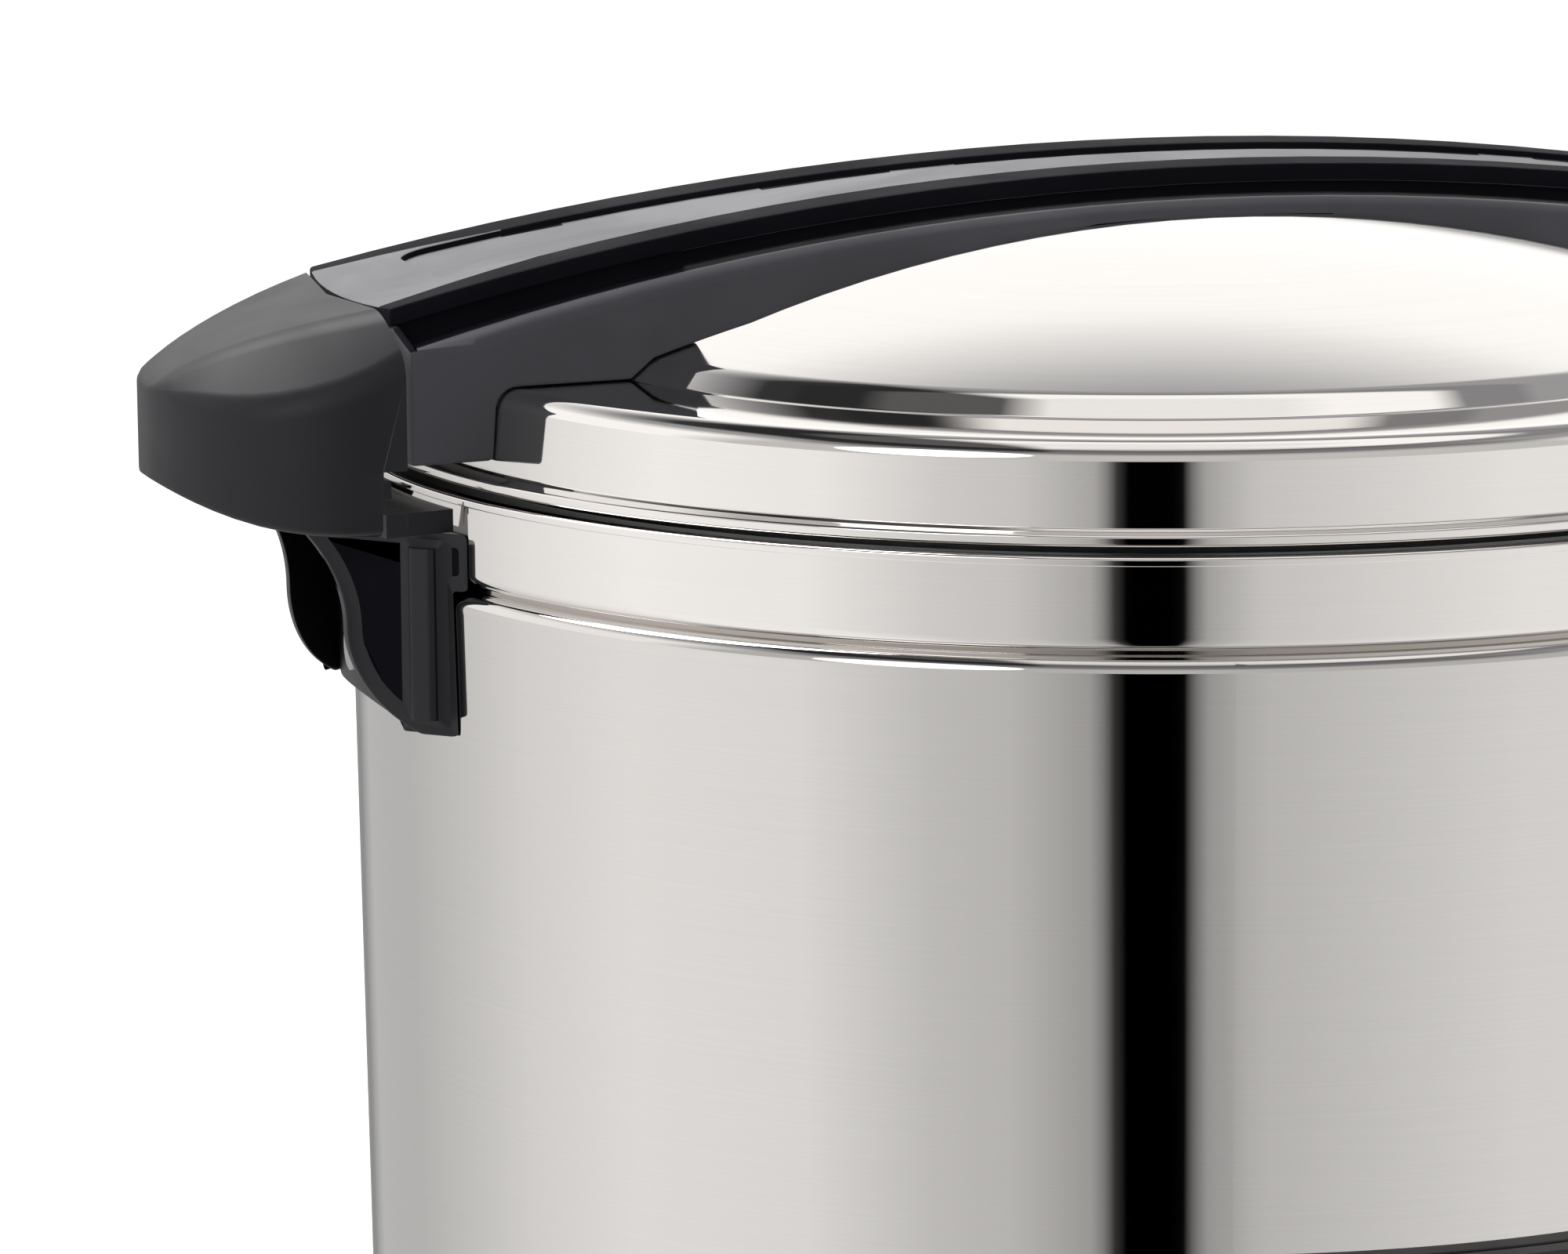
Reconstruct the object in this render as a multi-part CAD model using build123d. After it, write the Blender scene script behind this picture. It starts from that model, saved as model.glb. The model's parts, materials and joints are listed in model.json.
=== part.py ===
from build123d import *
import os
from math import cos, hypot, radians, sin, sqrt

# Electric pressure cooker on its feet: +Z up, panel to -Y, side handles on -X and +X.
# The origin is on the table, under the middle of the pot. All sizes are in millimetres.

# Clearances
SEAT_GAP = 0.15  # between pieces that are screwed together along a curved face
PART_GAP = 0.3  # between pieces that move apart
RUNNING_GAP = 0.06  # radial, on a shaft that turns or slides in its bore

# Housing and collar
BODY_RADIUS = 140.0  # housing at its shoulder
BODY_TAPER = 2.6  # how much narrower the housing is at its lower edge
SEAM_HEIGHT = 245.0  # table to the parting line under the lid
SHEET = 1.0  # steel sheet of housing, collar and lid cover
SHOULDER_DROP = 16.3  # the groove between housing and collar, below the seam
SHOULDER_ROUND = 3.0
SHOULDER_SHELF = 8.0  # width of the housing's inward flange
COLLAR_INSET = 1.4  # the collar's face lies this far inside the housing's
COLLAR_TUCK = 1.8  # its rolled lower edge
COLLAR_LIP = 0.6  # how far the lip stands out from the collar's face
LIP_THICKNESS = 1.4
LIP_RIM = 2.4  # width of the lip round the outer pot's flange
SEAM_BELOW = 1.5  # the lip's top, below the seam

# Base
FOOT_HEIGHT = 8.0
FOOT_RADIUS = 11.0  # under the pan
FOOT_TIP_RADIUS = 9.7  # on the table
FOOT_RECESS_RADIUS = 3.7
FOOT_RECESS_DEPTH = 2.0
FOOT_INSET = 25.4  # the feet's middles, from the housing's lower edge
FOOT_COUNT = 4
FOOT_ANGLE = 45.0  # from +X to the first foot
PAN_FLOOR = 2.5
PAN_RIM = 6.0  # visible height of the pan below the housing
PAN_UPSTAND = 5.0  # height of the wall that locates the housing
PAN_WALL = 2.0
PAN_INSET = 0.8  # the pan's rim lies this far inside the housing's face
VENT_COUNT = 16
VENT_LENGTH = 26.0
VENT_WIDTH = 3.0
VENT_CIRCLE = 66.0
POST_HEIGHT = 35.5
POST_RADIUS = 6.0
POST_INSET = 19.0  # the posts' middles, from the outer pot's wall
POST_COUNT = 3
POST_ANGLE = 30.0  # from +X to the first post
BASE_SCREW_RADIUS = 2.0
BASE_SCREW_LENGTH = 16.0
SCREW_HEAD_RADIUS = 4.0
SCREW_HEAD_HEIGHT = 2.2

# Outer pot, heater and cooking pot
SHELF_GAP = 0.5  # between the outer pot and the housing's inward flange
OUTER_POT_WALL = 1.5
LOCK_LEDGE = 11.0  # width of the channel that the lid's lugs turn in
LOCK_DEPTH = 15.0  # the channel's floor, below the seam
HEATER_INSET = 28.0  # the heating plate's edge, from the cooking pot's wall
HEATER_SEAT = 14.0  # width of the outer pot's floor under the plate
HEATER_HEIGHT = 17.5
HEATER_BEVEL = 8.0
POT_GAP = 1.5  # between the cooking pot's rim and the outer pot
POT_WALL = 2.0
POT_RIM_WIDTH = 5.5
POT_RIM_DROP = 7.0  # the pot's rim, below the seam
POT_CORNER = 18.0
CUP_RADIUS = 15.5
CUP_GAP = 1.5  # between the cup and the heating plate
CUP_WALL = 1.5
CUP_SKIRT = 19.0
HOLDER_DEPTH = 9.5  # thermostat holder, below the heating plate
HOLDER_WALL = 2.0
HOLDER_HOLE_RADIUS = 4.3  # in its floor, for the sensor's wires
SPRING_RADIUS = 10.0
SPRING_WIRE = 0.8
SPRING_TURNS = 5

# Lid
FLANGE_INSET = 1.9  # the lid's flange, inside the collar's lip
FLANGE_WIDTH = 5.3
LID_FLANGE_LIFT = 0.4  # the flange's underside, above the seam
FLANGE_THICKNESS = 2.0  # of the lid's rolled flange
LID_WALL_LEAN = 1.2  # how much narrower the upright wall is at its top
LID_TOP = 16.2  # height of the flat ring above the seam
LID_TOP_ROUND = 3.5
RING_WIDTH = 22.8  # of the flat ring round the dome
DOME_EDGE = 19.5  # height of the dome's edge above the seam
DOME_TOP = 35.5  # height of its middle above the seam
VALLEY_WIDTH = 4.0  # from the flat ring to the dome's edge
PLATE_THICKNESS = 1.5  # inner lid plate
SKIRT_DEPTH = 10.5  # of the plate's skirt, below the seam
LUG_COUNT = 6
LUG_ANGLE = 14.0
LUG_REACH = 3.3
LUG_HEIGHT = 3.0
LUG_GAP = 0.7  # between the lugs and the channel's wall
LINER_TOP = 3.2  # above the seam
LINER_SHEET = 1.2
LINER_HOLES = 6
LINER_HOLE_RADIUS = 3.0
LINER_HOLE_CIRCLE = 45.0
GASKET_WIDTH = 9.0
GASKET_HEIGHT = 4.6
POST_STUD_RADIUS = 4.0  # centre post, which carries the liner
POST_FLANGE_RADIUS = 12.0
POST_KNOB_RADIUS = 6.5
POST_KNOB_HEIGHT = 3.0
GROMMET_RADIUS = 9.0
GROMMET_HEIGHT = 4.0

# Valves, behind the lid's handle
EXHAUST_PLACE = (0.0, 78.0)
PIPE_RADIUS = 5.0
PIPE_BORE = 2.0
PIPE_RISE = 7.0  # above the dome
KNOB_RADIUS = 12.0
KNOB_HEIGHT = 7.0
KNOB_LIFT = 1.0  # the knob's underside above the dome, at its highest point there
FIN_WIDTH = 11.0  # of the knob's finger grip
FIN_HEIGHT = 3.0
CAP_RADIUS = 8.0
CAP_HEIGHT = 6.0
CAP_HOLES = 6
CAP_HOLE_RADIUS = 0.6
FLOAT_PLACE = (42.0, 56.0)
FLOAT_RADIUS = 3.0
FLOAT_HEAD = 4.4
FLOAT_RISE = 1.2  # the pin's top above its bush at rest
FLOAT_TRAVEL = 4.0
BUSH_WALL = 2.5
BUSH_RISE = 2.0  # the bush's top above the dome
BUSH_COLLAR = 1.5  # height of the ring round its top
HEAD_HEIGHT = 2.0  # of the pin's head under the lid

# Lid handle
ARCH_TOP = 46.4  # its top at mid-length, above the seam
ARCH_RADIUS = 620.0
COVER_THICKNESS = 3.0
COVER_HALF_WIDTH = 22.4  # at mid-length
COVER_END_WIDTH = 29.0  # half width at the ends
LIP_TOP = 41.2  # top of the handle's lip at mid-length, above the seam
LIP_RADIUS = 560.0
LIP_HALF_WIDTH = 27.0
LIP_END_WIDTH = 36.0
NECK_INSET = 2.0  # depth of the shadow groove under the cover
UNDER_TOP = 38.0  # the arch's underside at mid-length, above the seam
UNDER_RADIUS = 257.0
FOOT_LENGTH = 41.1  # of the feet, from the handle's ends inwards
FOOT_BOTTOM = 4.5  # underside of the feet, above the seam
HANDLE_OVERHANG = 6.1  # the lid handle's ends, outside the housing
CHEEK = 1.4  # thickness of the end cheek that closes the groove
TROUGH_INSET = 11.0
TROUGH_DEPTH = 1.2
TROUGH_STOP = 15.1  # the trough's end, from the handle's end
TROUGH_ROUND = 5.0
HANDLE_SCREW_INSET = 8.0  # from the inner edge of the flat ring
HANDLE_SCREW_Y = 14.0
HANDLE_SCREW_LENGTH = 9.0

# Side handles and their brackets
HANDLE_GAP = 1.0  # between lid handle and side handle
GRIP_REACH = 31.7
GRIP_STATIONS = (0.0, 0.2, 0.4, 0.58, 0.73, 0.85, 0.93, 0.98, 1.0)  # sections, as shares of the reach
CROWN_SLOPE = 0.5  # share of the fall to the nose that is even; the rest is a quarter ellipse
GRIP_HALF_WIDTH = 36.0
GRIP_FLAT = 27.0  # half width of the flat on top, beside the lid's handle
NOSE_FLAT = 7.0  # the same at the nose
BEVEL_SLOPE = 0.85  # fall of the bevels, beside the lid's handle
NOSE_SLOPE = 0.5  # the same at the nose
NOSE_TOP = 14.0  # upper edge of the nose, above the seam
NOSE_BOTTOM = 0.1
NOSE_ROUND = 6.8
ROOT_BOTTOM = -6.8  # underside beside the body, from the seam
NOTCH_TOP = 4.0
NOTCH_BOTTOM = -3.0
NOTCH_DEPTH = 4.0
TAB_WIDTH = 5.0
TAB_THICKNESS = 2.5
BRACKET_BOTTOM = -40.5
BRACKET_FLARE = 17.0  # depth of the bracket under the grip
BRACKET_NECK = 10.0  # its depth lower down
BRACKET_HALF_TIP = 15.5
BRACKET_HALF_ROOT = 39.6  # at the inner edge of the housing's shelf
BRACKET_WALL = 2.2
RIB_WIDTH = 5.0
RIB_HEIGHT = 1.2
BRACKET_SCREW_RADIUS = 2.0
BRACKET_SCREW_HEIGHTS = (-19.0, -31.0)
BRACKET_SCREW_LENGTH = 8.0

# Control panel, low on the front
PANEL_HEIGHT = 86.0  # its middle above the table
PANEL_WIDTH = 84.0
PANEL_TALL = 92.0
PANEL_ROUND = 14.0
PANEL_PROUD = 4.0
PANEL_OVERLAP = 6.0
LENS_WIDTH = 54.0
LENS_TALL = 24.0
LENS_RISE = 23.0  # its middle above the panel's
LENS_THICKNESS = 1.6
LENS_SEAT = 3.0
BUTTON_RADIUS = 7.0
BUTTON_PROUD = 1.0
BUTTON_PITCH_X = 23.0
BUTTON_PITCH_Z = 21.0
BUTTON_ROW_DROP = 9.0  # the upper row, below the panel's middle
BUTTON_DEPTH = 7.0
BUTTON_TRAVEL = 0.8
STEM_RADIUS = 2.0
BOARD_THICKNESS = 1.6
BOARD_MARGIN = 3.5
BOARD_GAP = 4.0  # between the board and the outer pot
SWITCH_SIZE = 6.0
SWITCH_HEIGHT = 3.2
PANEL_POST_RADIUS = 2.5
PANEL_POST_INSET = 3.75  # the posts' middles, from the board's edges
DISPLAY_DEPTH = 7.0
DISPLAY_GAP = 0.5  # round the display, in the panel's opening

# Power inlet, low at the back
INLET_HEIGHT = 34.0
INLET_WIDTH = 27.0
INLET_TALL = 20.0
INLET_BORDER = 3.5
INLET_ROUND = 3.0
INLET_WALL = 2.0
INLET_LENGTH = 27.0
SOCKET_DEPTH = 20.0
PIN_LENGTH = 12.0
PIN_WIDTH = 2.0
PIN_TALL = 4.0
PIN_PITCH = 7.0

# Radii that follow from the housing's, from outside to inside
housing_foot = BODY_RADIUS - BODY_TAPER
collar_radius = BODY_RADIUS - COLLAR_INSET
lip_radius = collar_radius + COLLAR_LIP
flange_radius = lip_radius - LIP_RIM - PART_GAP
shelf_radius = BODY_RADIUS - SHOULDER_SHELF
lock_radius = shelf_radius - SHELF_GAP - OUTER_POT_WALL
outer_pot_radius = lock_radius - LOCK_LEDGE
pot_radius = outer_pot_radius - POT_GAP - POT_RIM_WIDTH
heater_radius = pot_radius - HEATER_INSET
outer_pot_hole = heater_radius - HEATER_SEAT
heater_hole = CUP_RADIUS + CUP_GAP
foot_circle = housing_foot - FOOT_INSET
post_circle = outer_pot_radius - POST_INSET
lid_flange_radius = lip_radius - FLANGE_INSET
lid_wall_foot = lid_flange_radius - FLANGE_WIDTH
ring_inside = lid_wall_foot - LID_WALL_LEAN - RING_WIDTH
dome_radius = ring_inside - VALLEY_WIDTH
skirt_radius = lock_radius - LUG_GAP - LUG_REACH
liner_radius = pot_radius  # the gasket lies on the cooking pot's rim

# Places of handles, brackets and panel
handle_end = BODY_RADIUS + HANDLE_OVERHANG
foot_reach = handle_end - FOOT_LENGTH
trough_end = handle_end - TROUGH_STOP
handle_screw_x = ring_inside + HANDLE_SCREW_INSET
side_inner = handle_end + HANDLE_GAP
handle_tip = side_inner + GRIP_REACH
bracket_reach = BODY_RADIUS + BRACKET_FLARE
bracket_neck = BODY_RADIUS + BRACKET_NECK
panel_face = BODY_RADIUS + PANEL_PROUD
button_face = panel_face + BUTTON_PROUD
board_front = outer_pot_radius + OUTER_POT_WALL + BOARD_GAP + BOARD_THICKNESS

# Heights that follow from the sizes above
pan_z = FOOT_HEIGHT
housing_z = pan_z + PAN_RIM
shoulder_z = SEAM_HEIGHT - SHOULDER_DROP
collar_top = SEAM_HEIGHT - SEAM_BELOW
pot_floor_z = pan_z + PAN_FLOOR + POST_HEIGHT
heater_z = pot_floor_z + OUTER_POT_WALL
heater_top = heater_z + HEATER_HEIGHT
lock_z = SEAM_HEIGHT - LOCK_DEPTH
flange_z = collar_top - OUTER_POT_WALL
pot_z = heater_top + PART_GAP
rim_z = SEAM_HEIGHT - POT_RIM_DROP
dome_sphere = (dome_radius**2 + (DOME_TOP - DOME_EDGE) ** 2) / (2 * (DOME_TOP - DOME_EDGE))
liner_z = SEAM_HEIGHT + LINER_TOP - LINER_SHEET
plate_under = SEAM_HEIGHT + LID_TOP - SHEET - PLATE_THICKNESS
clear_height = 2 * SEAM_HEIGHT  # taller than the cooker, for cutting blocks

os.makedirs("parts", exist_ok=True)


def save(name, shape):
    export_step(shape, f"parts/{name}.step")


def turned(points, rounds=None):
    """A turned piece from (radius, height) points; rounds gives a corner's number its fillet."""
    face = Sketch() + make_face(Polyline(*points, close=True))
    for number, radius in (rounds or {}).items():
        corner = face.vertices().sort_by_distance((*points[number], 0))[0]
        face = fillet(corner, radius)
    return revolve(Plane.XZ * face, Axis.Z)


def around(count, radius, first=0.0):
    """Places on a circle about the cooker's axis."""
    steps = [radians(first + 360 * k / count) for k in range(count)]
    return [(radius * cos(a), radius * sin(a)) for a in steps]


def disc(x, y, z, radius, height):
    """An upright cylinder that stands on height z."""
    return Pos(x, y, z + height / 2) * Cylinder(radius, height)


def group(solids):
    return Compound(children=list(solids))


def dome_height(radius):
    """Height of the dome's outer face above the seam, at a radius from the middle."""
    return DOME_TOP - dome_sphere + sqrt(dome_sphere**2 - radius**2)


def housing_solid(grow=0.0):
    """The housing's outer form, filled."""
    return turned(
        [
            (0, housing_z),
            (housing_foot + grow, housing_z),
            (BODY_RADIUS + grow, shoulder_z),
            (0, shoulder_z),
        ]
    )


# Housing, collar and base


def make_outer_housing(holes):
    inner = BODY_RADIUS - SHEET
    shelf = shelf_radius
    body = turned(
        [
            (housing_foot, housing_z),
            (BODY_RADIUS, shoulder_z),
            (shelf, shoulder_z),
            (shelf, shoulder_z - SHEET),
            (inner, shoulder_z - SHEET),
            (housing_foot - SHEET, housing_z),
        ],
        {1: SHOULDER_ROUND, 4: SHOULDER_ROUND - SHEET},
    )
    window_wide = PANEL_WIDTH - 2 * PANEL_OVERLAP
    window = RectangleRounded(window_wide, PANEL_TALL - 2 * PANEL_OVERLAP, PANEL_OVERLAP)
    body -= Pos(0, 0, PANEL_HEIGHT) * extrude(Plane.XZ * window, BODY_RADIUS + PANEL_PROUD)
    inlet = RectangleRounded(INLET_WIDTH + 2 * PART_GAP, INLET_TALL + 2 * PART_GAP, INLET_ROUND)
    body -= Pos(0, 0, INLET_HEIGHT) * extrude(Plane.XZ * inlet, -BODY_RADIUS - PANEL_PROUD)
    save("outer_housing", body - holes)


def make_top_collar():
    shelf = lock_radius + OUTER_POT_WALL + PART_GAP
    lip_inside = flange_radius + PART_GAP
    ring = turned(
        [
            (collar_radius - COLLAR_TUCK, shoulder_z),
            (collar_radius, shoulder_z + COLLAR_TUCK),
            (collar_radius, collar_top - LIP_THICKNESS),
            (lip_radius, collar_top - LIP_THICKNESS),
            (lip_radius, collar_top),
            (lip_inside, collar_top),
            (lip_inside, flange_z),
            (shelf, flange_z),
            (shelf, flange_z - SHEET),
            (collar_radius - SHEET, flange_z - SHEET),
            (collar_radius - SHEET, shoulder_z + COLLAR_TUCK),
            (collar_radius - COLLAR_TUCK - SHEET, shoulder_z),
        ],
        {1: COLLAR_TUCK, 4: LIP_THICKNESS / 3},
    )
    save("top_collar", ring)


def make_base():
    locating = housing_foot - SHEET - PART_GAP
    rim = housing_foot - PAN_INSET
    floor_top = pan_z + PAN_FLOOR
    pan = turned(
        [
            (0, pan_z),
            (rim, pan_z),
            (rim, housing_z),
            (locating, housing_z),
            (locating, housing_z + PAN_UPSTAND),
            (locating - PAN_WALL, housing_z + PAN_UPSTAND),
            (locating - PAN_WALL, floor_top),
            (0, floor_top),
        ],
        {1: PAN_RIM / 3},
    )
    slot = SlotOverall(VENT_LENGTH, VENT_WIDTH)
    for k in range(VENT_COUNT):
        place = Rot(0, 0, 360 * k / VENT_COUNT) * Pos(VENT_CIRCLE, 0, pan_z)
        pan -= place * extrude(slot, PAN_FLOOR)
    posts = []
    screws = []
    for x, y in around(POST_COUNT, post_circle, POST_ANGLE):
        pan -= disc(x, y, pan_z, BASE_SCREW_RADIUS + SEAT_GAP, PAN_FLOOR)
        bore = disc(x, y, floor_top, BASE_SCREW_RADIUS + RUNNING_GAP, BASE_SCREW_LENGTH)
        posts.append(disc(x, y, floor_top, POST_RADIUS, POST_HEIGHT) - bore)
        head = disc(x, y, pan_z - SCREW_HEAD_HEIGHT, SCREW_HEAD_RADIUS, SCREW_HEAD_HEIGHT)
        screws.append(head + disc(x, y, pan_z, BASE_SCREW_RADIUS, BASE_SCREW_LENGTH))
    feet = []
    for x, y in around(FOOT_COUNT, foot_circle, FOOT_ANGLE):
        foot = Pos(x, y, FOOT_HEIGHT / 2) * Cone(FOOT_TIP_RADIUS, FOOT_RADIUS, FOOT_HEIGHT)
        feet.append(foot - disc(x, y, 0, FOOT_RECESS_RADIUS, FOOT_RECESS_DEPTH))
    save("base_pan", pan)
    save("support_posts", group(posts))
    save("base_screws", group(screws))
    save("rubber_feet", group(feet))


# Outer pot, heater, thermostat and cooking pot


def make_outer_pot():
    wall = OUTER_POT_WALL
    shell = turned(
        [
            (outer_pot_hole, pot_floor_z),
            (outer_pot_radius + wall, pot_floor_z),
            (outer_pot_radius + wall, lock_z - wall),
            (lock_radius + wall, lock_z - wall),
            (lock_radius + wall, flange_z),
            (flange_radius, flange_z),
            (flange_radius, collar_top),
            (lock_radius, collar_top),
            (lock_radius, lock_z),
            (outer_pot_radius, lock_z),
            (outer_pot_radius, heater_z),
            (outer_pot_hole, heater_z),
        ],
        {1: 3 * wall, 10: 2 * wall},
    )
    save("outer_pot", shell)


def make_heater():
    plate = turned(
        [
            (heater_hole, heater_z),
            (heater_radius, heater_z),
            (heater_radius, heater_top - HEATER_BEVEL),
            (heater_radius - HEATER_BEVEL, heater_top),
            (heater_hole, heater_top),
        ],
        {3: HEATER_BEVEL},
    )
    save("heating_plate", plate)


def make_thermostat():
    cup = disc(0, 0, heater_top - CUP_SKIRT, CUP_RADIUS, CUP_SKIRT)
    cup = fillet(cup.edges().group_by(Axis.Z)[-1], CUP_WALL / 2)
    cup -= disc(0, 0, heater_top - CUP_SKIRT, CUP_RADIUS - CUP_WALL, CUP_SKIRT - CUP_WALL)
    inside = heater_hole + PART_GAP
    holder_z = heater_z - HOLDER_DEPTH
    holder = disc(0, 0, holder_z, inside + HOLDER_WALL, HOLDER_DEPTH)
    holder -= disc(0, 0, holder_z + HOLDER_WALL, inside, HOLDER_DEPTH)
    holder -= disc(0, 0, holder_z, HOLDER_HOLE_RADIUS, HOLDER_WALL)
    low = holder_z + HOLDER_WALL + SPRING_WIRE
    high = heater_top - CUP_WALL - SPRING_WIRE
    coil = Helix((high - low) / SPRING_TURNS, high - low, SPRING_RADIUS)
    wire = Plane(origin=coil @ 0, z_dir=coil % 0) * Circle(SPRING_WIRE)
    spring = Pos(0, 0, low) * sweep(wire, path=coil)
    save("thermostat_cup", cup)
    save("thermostat_holder", holder)
    save("thermostat_spring", spring)


def make_inner_pot():
    rim = pot_radius + POT_RIM_WIDTH
    pot = turned(
        [
            (0, pot_z),
            (pot_radius, pot_z),
            (pot_radius, rim_z - POT_WALL),
            (rim, rim_z - POT_WALL),
            (rim, rim_z),
            (pot_radius - POT_WALL, rim_z),
            (pot_radius - POT_WALL, pot_z + POT_WALL),
            (0, pot_z + POT_WALL),
        ],
        {1: POT_CORNER, 6: POT_CORNER - POT_WALL, 4: POT_WALL / 3},
    )
    save("inner_pot", pot)


# Lid


def lid_form(grow):
    """The lid cover's form without its flange, filled, with its faces moved outwards."""
    base = SEAM_HEIGHT + LID_FLANGE_LIFT
    top = SEAM_HEIGHT + LID_TOP + grow
    edge = SEAM_HEIGHT + DOME_EDGE + grow
    crown = SEAM_HEIGHT + DOME_TOP + grow
    half = SEAM_HEIGHT + dome_height(dome_radius / 2) + grow
    foot = lid_wall_foot + grow
    shoulder = (foot - LID_WALL_LEAN, top)
    ring_end = (ring_inside, top)
    dome_start = (dome_radius, edge)
    outline = Polyline((0, base), (foot, base), shoulder, ring_end, dome_start)
    outline += ThreePointArc(dome_start, (dome_radius / 2, half), (0, crown))
    outline += Line((0, crown), (0, base))
    face = Sketch() + make_face(outline)
    corner = face.vertices().sort_by_distance((*shoulder, 0))[0]
    face = fillet(corner, LID_TOP_ROUND + grow)
    return revolve(Plane.XZ * face, Axis.Z)


def make_lid_cover(holes):
    base = SEAM_HEIGHT + LID_FLANGE_LIFT
    flange = disc(0, 0, base, lid_flange_radius, FLANGE_THICKNESS)
    flange = fillet(flange.edges().group_by(Axis.Z)[-1], FLANGE_THICKNESS / 2)
    save("lid_shell", lid_form(0) + flange - lid_form(-SHEET) - holes)


def make_lid_plate(holes):
    top = SEAM_HEIGHT + LID_TOP - SHEET
    bottom = SEAM_HEIGHT - SKIRT_DEPTH
    inside = skirt_radius - PLATE_THICKNESS
    plate = turned(
        [
            (0, top - PLATE_THICKNESS),
            (inside, top - PLATE_THICKNESS),
            (inside, bottom),
            (skirt_radius, bottom),
            (skirt_radius, top),
            (0, top),
        ],
        {1: PLATE_THICKNESS, 4: 2 * PLATE_THICKNESS},
    )
    lug = turned(
        [
            (inside + PLATE_THICKNESS / 2, bottom),
            (skirt_radius + LUG_REACH, bottom),
            (skirt_radius + LUG_REACH, bottom + LUG_HEIGHT),
            (inside + PLATE_THICKNESS / 2, bottom + LUG_HEIGHT),
        ]
    )
    reach = skirt_radius + 2 * LUG_REACH
    half = reach * sin(radians(LUG_ANGLE / 2))
    for k in range(LUG_COUNT):
        wedge = extrude(make_face(Polyline((0, 0), (reach, -half), (reach, half), close=True)), SEAM_HEIGHT)
        plate += lug & (Rot(0, 0, 360 * k / LUG_COUNT) * wedge)
    save("lid_plate", plate - holes)


def make_liner():
    gasket_z = rim_z + PART_GAP
    rim_low = gasket_z + GASKET_HEIGHT / 2
    inside = liner_radius - LINER_SHEET
    liner_top = liner_z + LINER_SHEET
    liner = turned(
        [
            (GROMMET_RADIUS - LINER_SHEET, liner_z),
            (inside, liner_z),
            (inside, rim_low),
            (liner_radius, rim_low),
            (liner_radius, liner_top),
            (GROMMET_RADIUS - LINER_SHEET, liner_top),
        ],
        {1: LINER_SHEET, 4: 2 * LINER_SHEET},
    )
    for x, y in around(LINER_HOLES, LINER_HOLE_CIRCLE):
        liner -= disc(x, y, liner_z, LINER_HOLE_RADIUS, LINER_SHEET)
    middle = (inside + liner_radius) / 2
    gasket_top = gasket_z + GASKET_HEIGHT
    gasket = turned(
        [
            (middle - GASKET_WIDTH / 2, gasket_z),
            (middle + GASKET_WIDTH / 2, gasket_z),
            (middle + GASKET_WIDTH / 2, gasket_top),
            (liner_radius, gasket_top),
            (liner_radius, rim_low),
            (inside, rim_low),
            (inside, gasket_top),
            (middle - GASKET_WIDTH / 2, gasket_top),
        ],
        {0: GASKET_HEIGHT / 4, 1: GASKET_HEIGHT / 4, 2: GASKET_HEIGHT / 5, 7: GASKET_HEIGHT / 5},
    )
    bore = POST_STUD_RADIUS + RUNNING_GAP
    half = (GROMMET_HEIGHT - LINER_SHEET) / 2
    grommet = turned(
        [
            (bore, liner_z - half),
            (GROMMET_RADIUS, liner_z - half),
            (GROMMET_RADIUS, liner_z),
            (GROMMET_RADIUS - LINER_SHEET, liner_z),
            (GROMMET_RADIUS - LINER_SHEET, liner_top),
            (GROMMET_RADIUS, liner_top),
            (GROMMET_RADIUS, liner_top + half),
            (bore, liner_top + half),
        ]
    )
    save("inner_lid", liner)
    save("sealing_gasket", gasket)
    save("liner_grommet", grommet)


def make_lid_post():
    half = (GROMMET_HEIGHT - LINER_SHEET) / 2
    knob_top = liner_z - half - PART_GAP
    post = disc(0, 0, knob_top, POST_STUD_RADIUS, plate_under - knob_top)
    post += disc(0, 0, plate_under - PLATE_THICKNESS, POST_FLANGE_RADIUS, PLATE_THICKNESS)
    knob = disc(0, 0, knob_top - POST_KNOB_HEIGHT, POST_KNOB_RADIUS, POST_KNOB_HEIGHT)
    post += chamfer(knob.edges().group_by(Axis.Z)[0], POST_KNOB_HEIGHT / 3)
    save("lid_post", post)


# Valves


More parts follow.
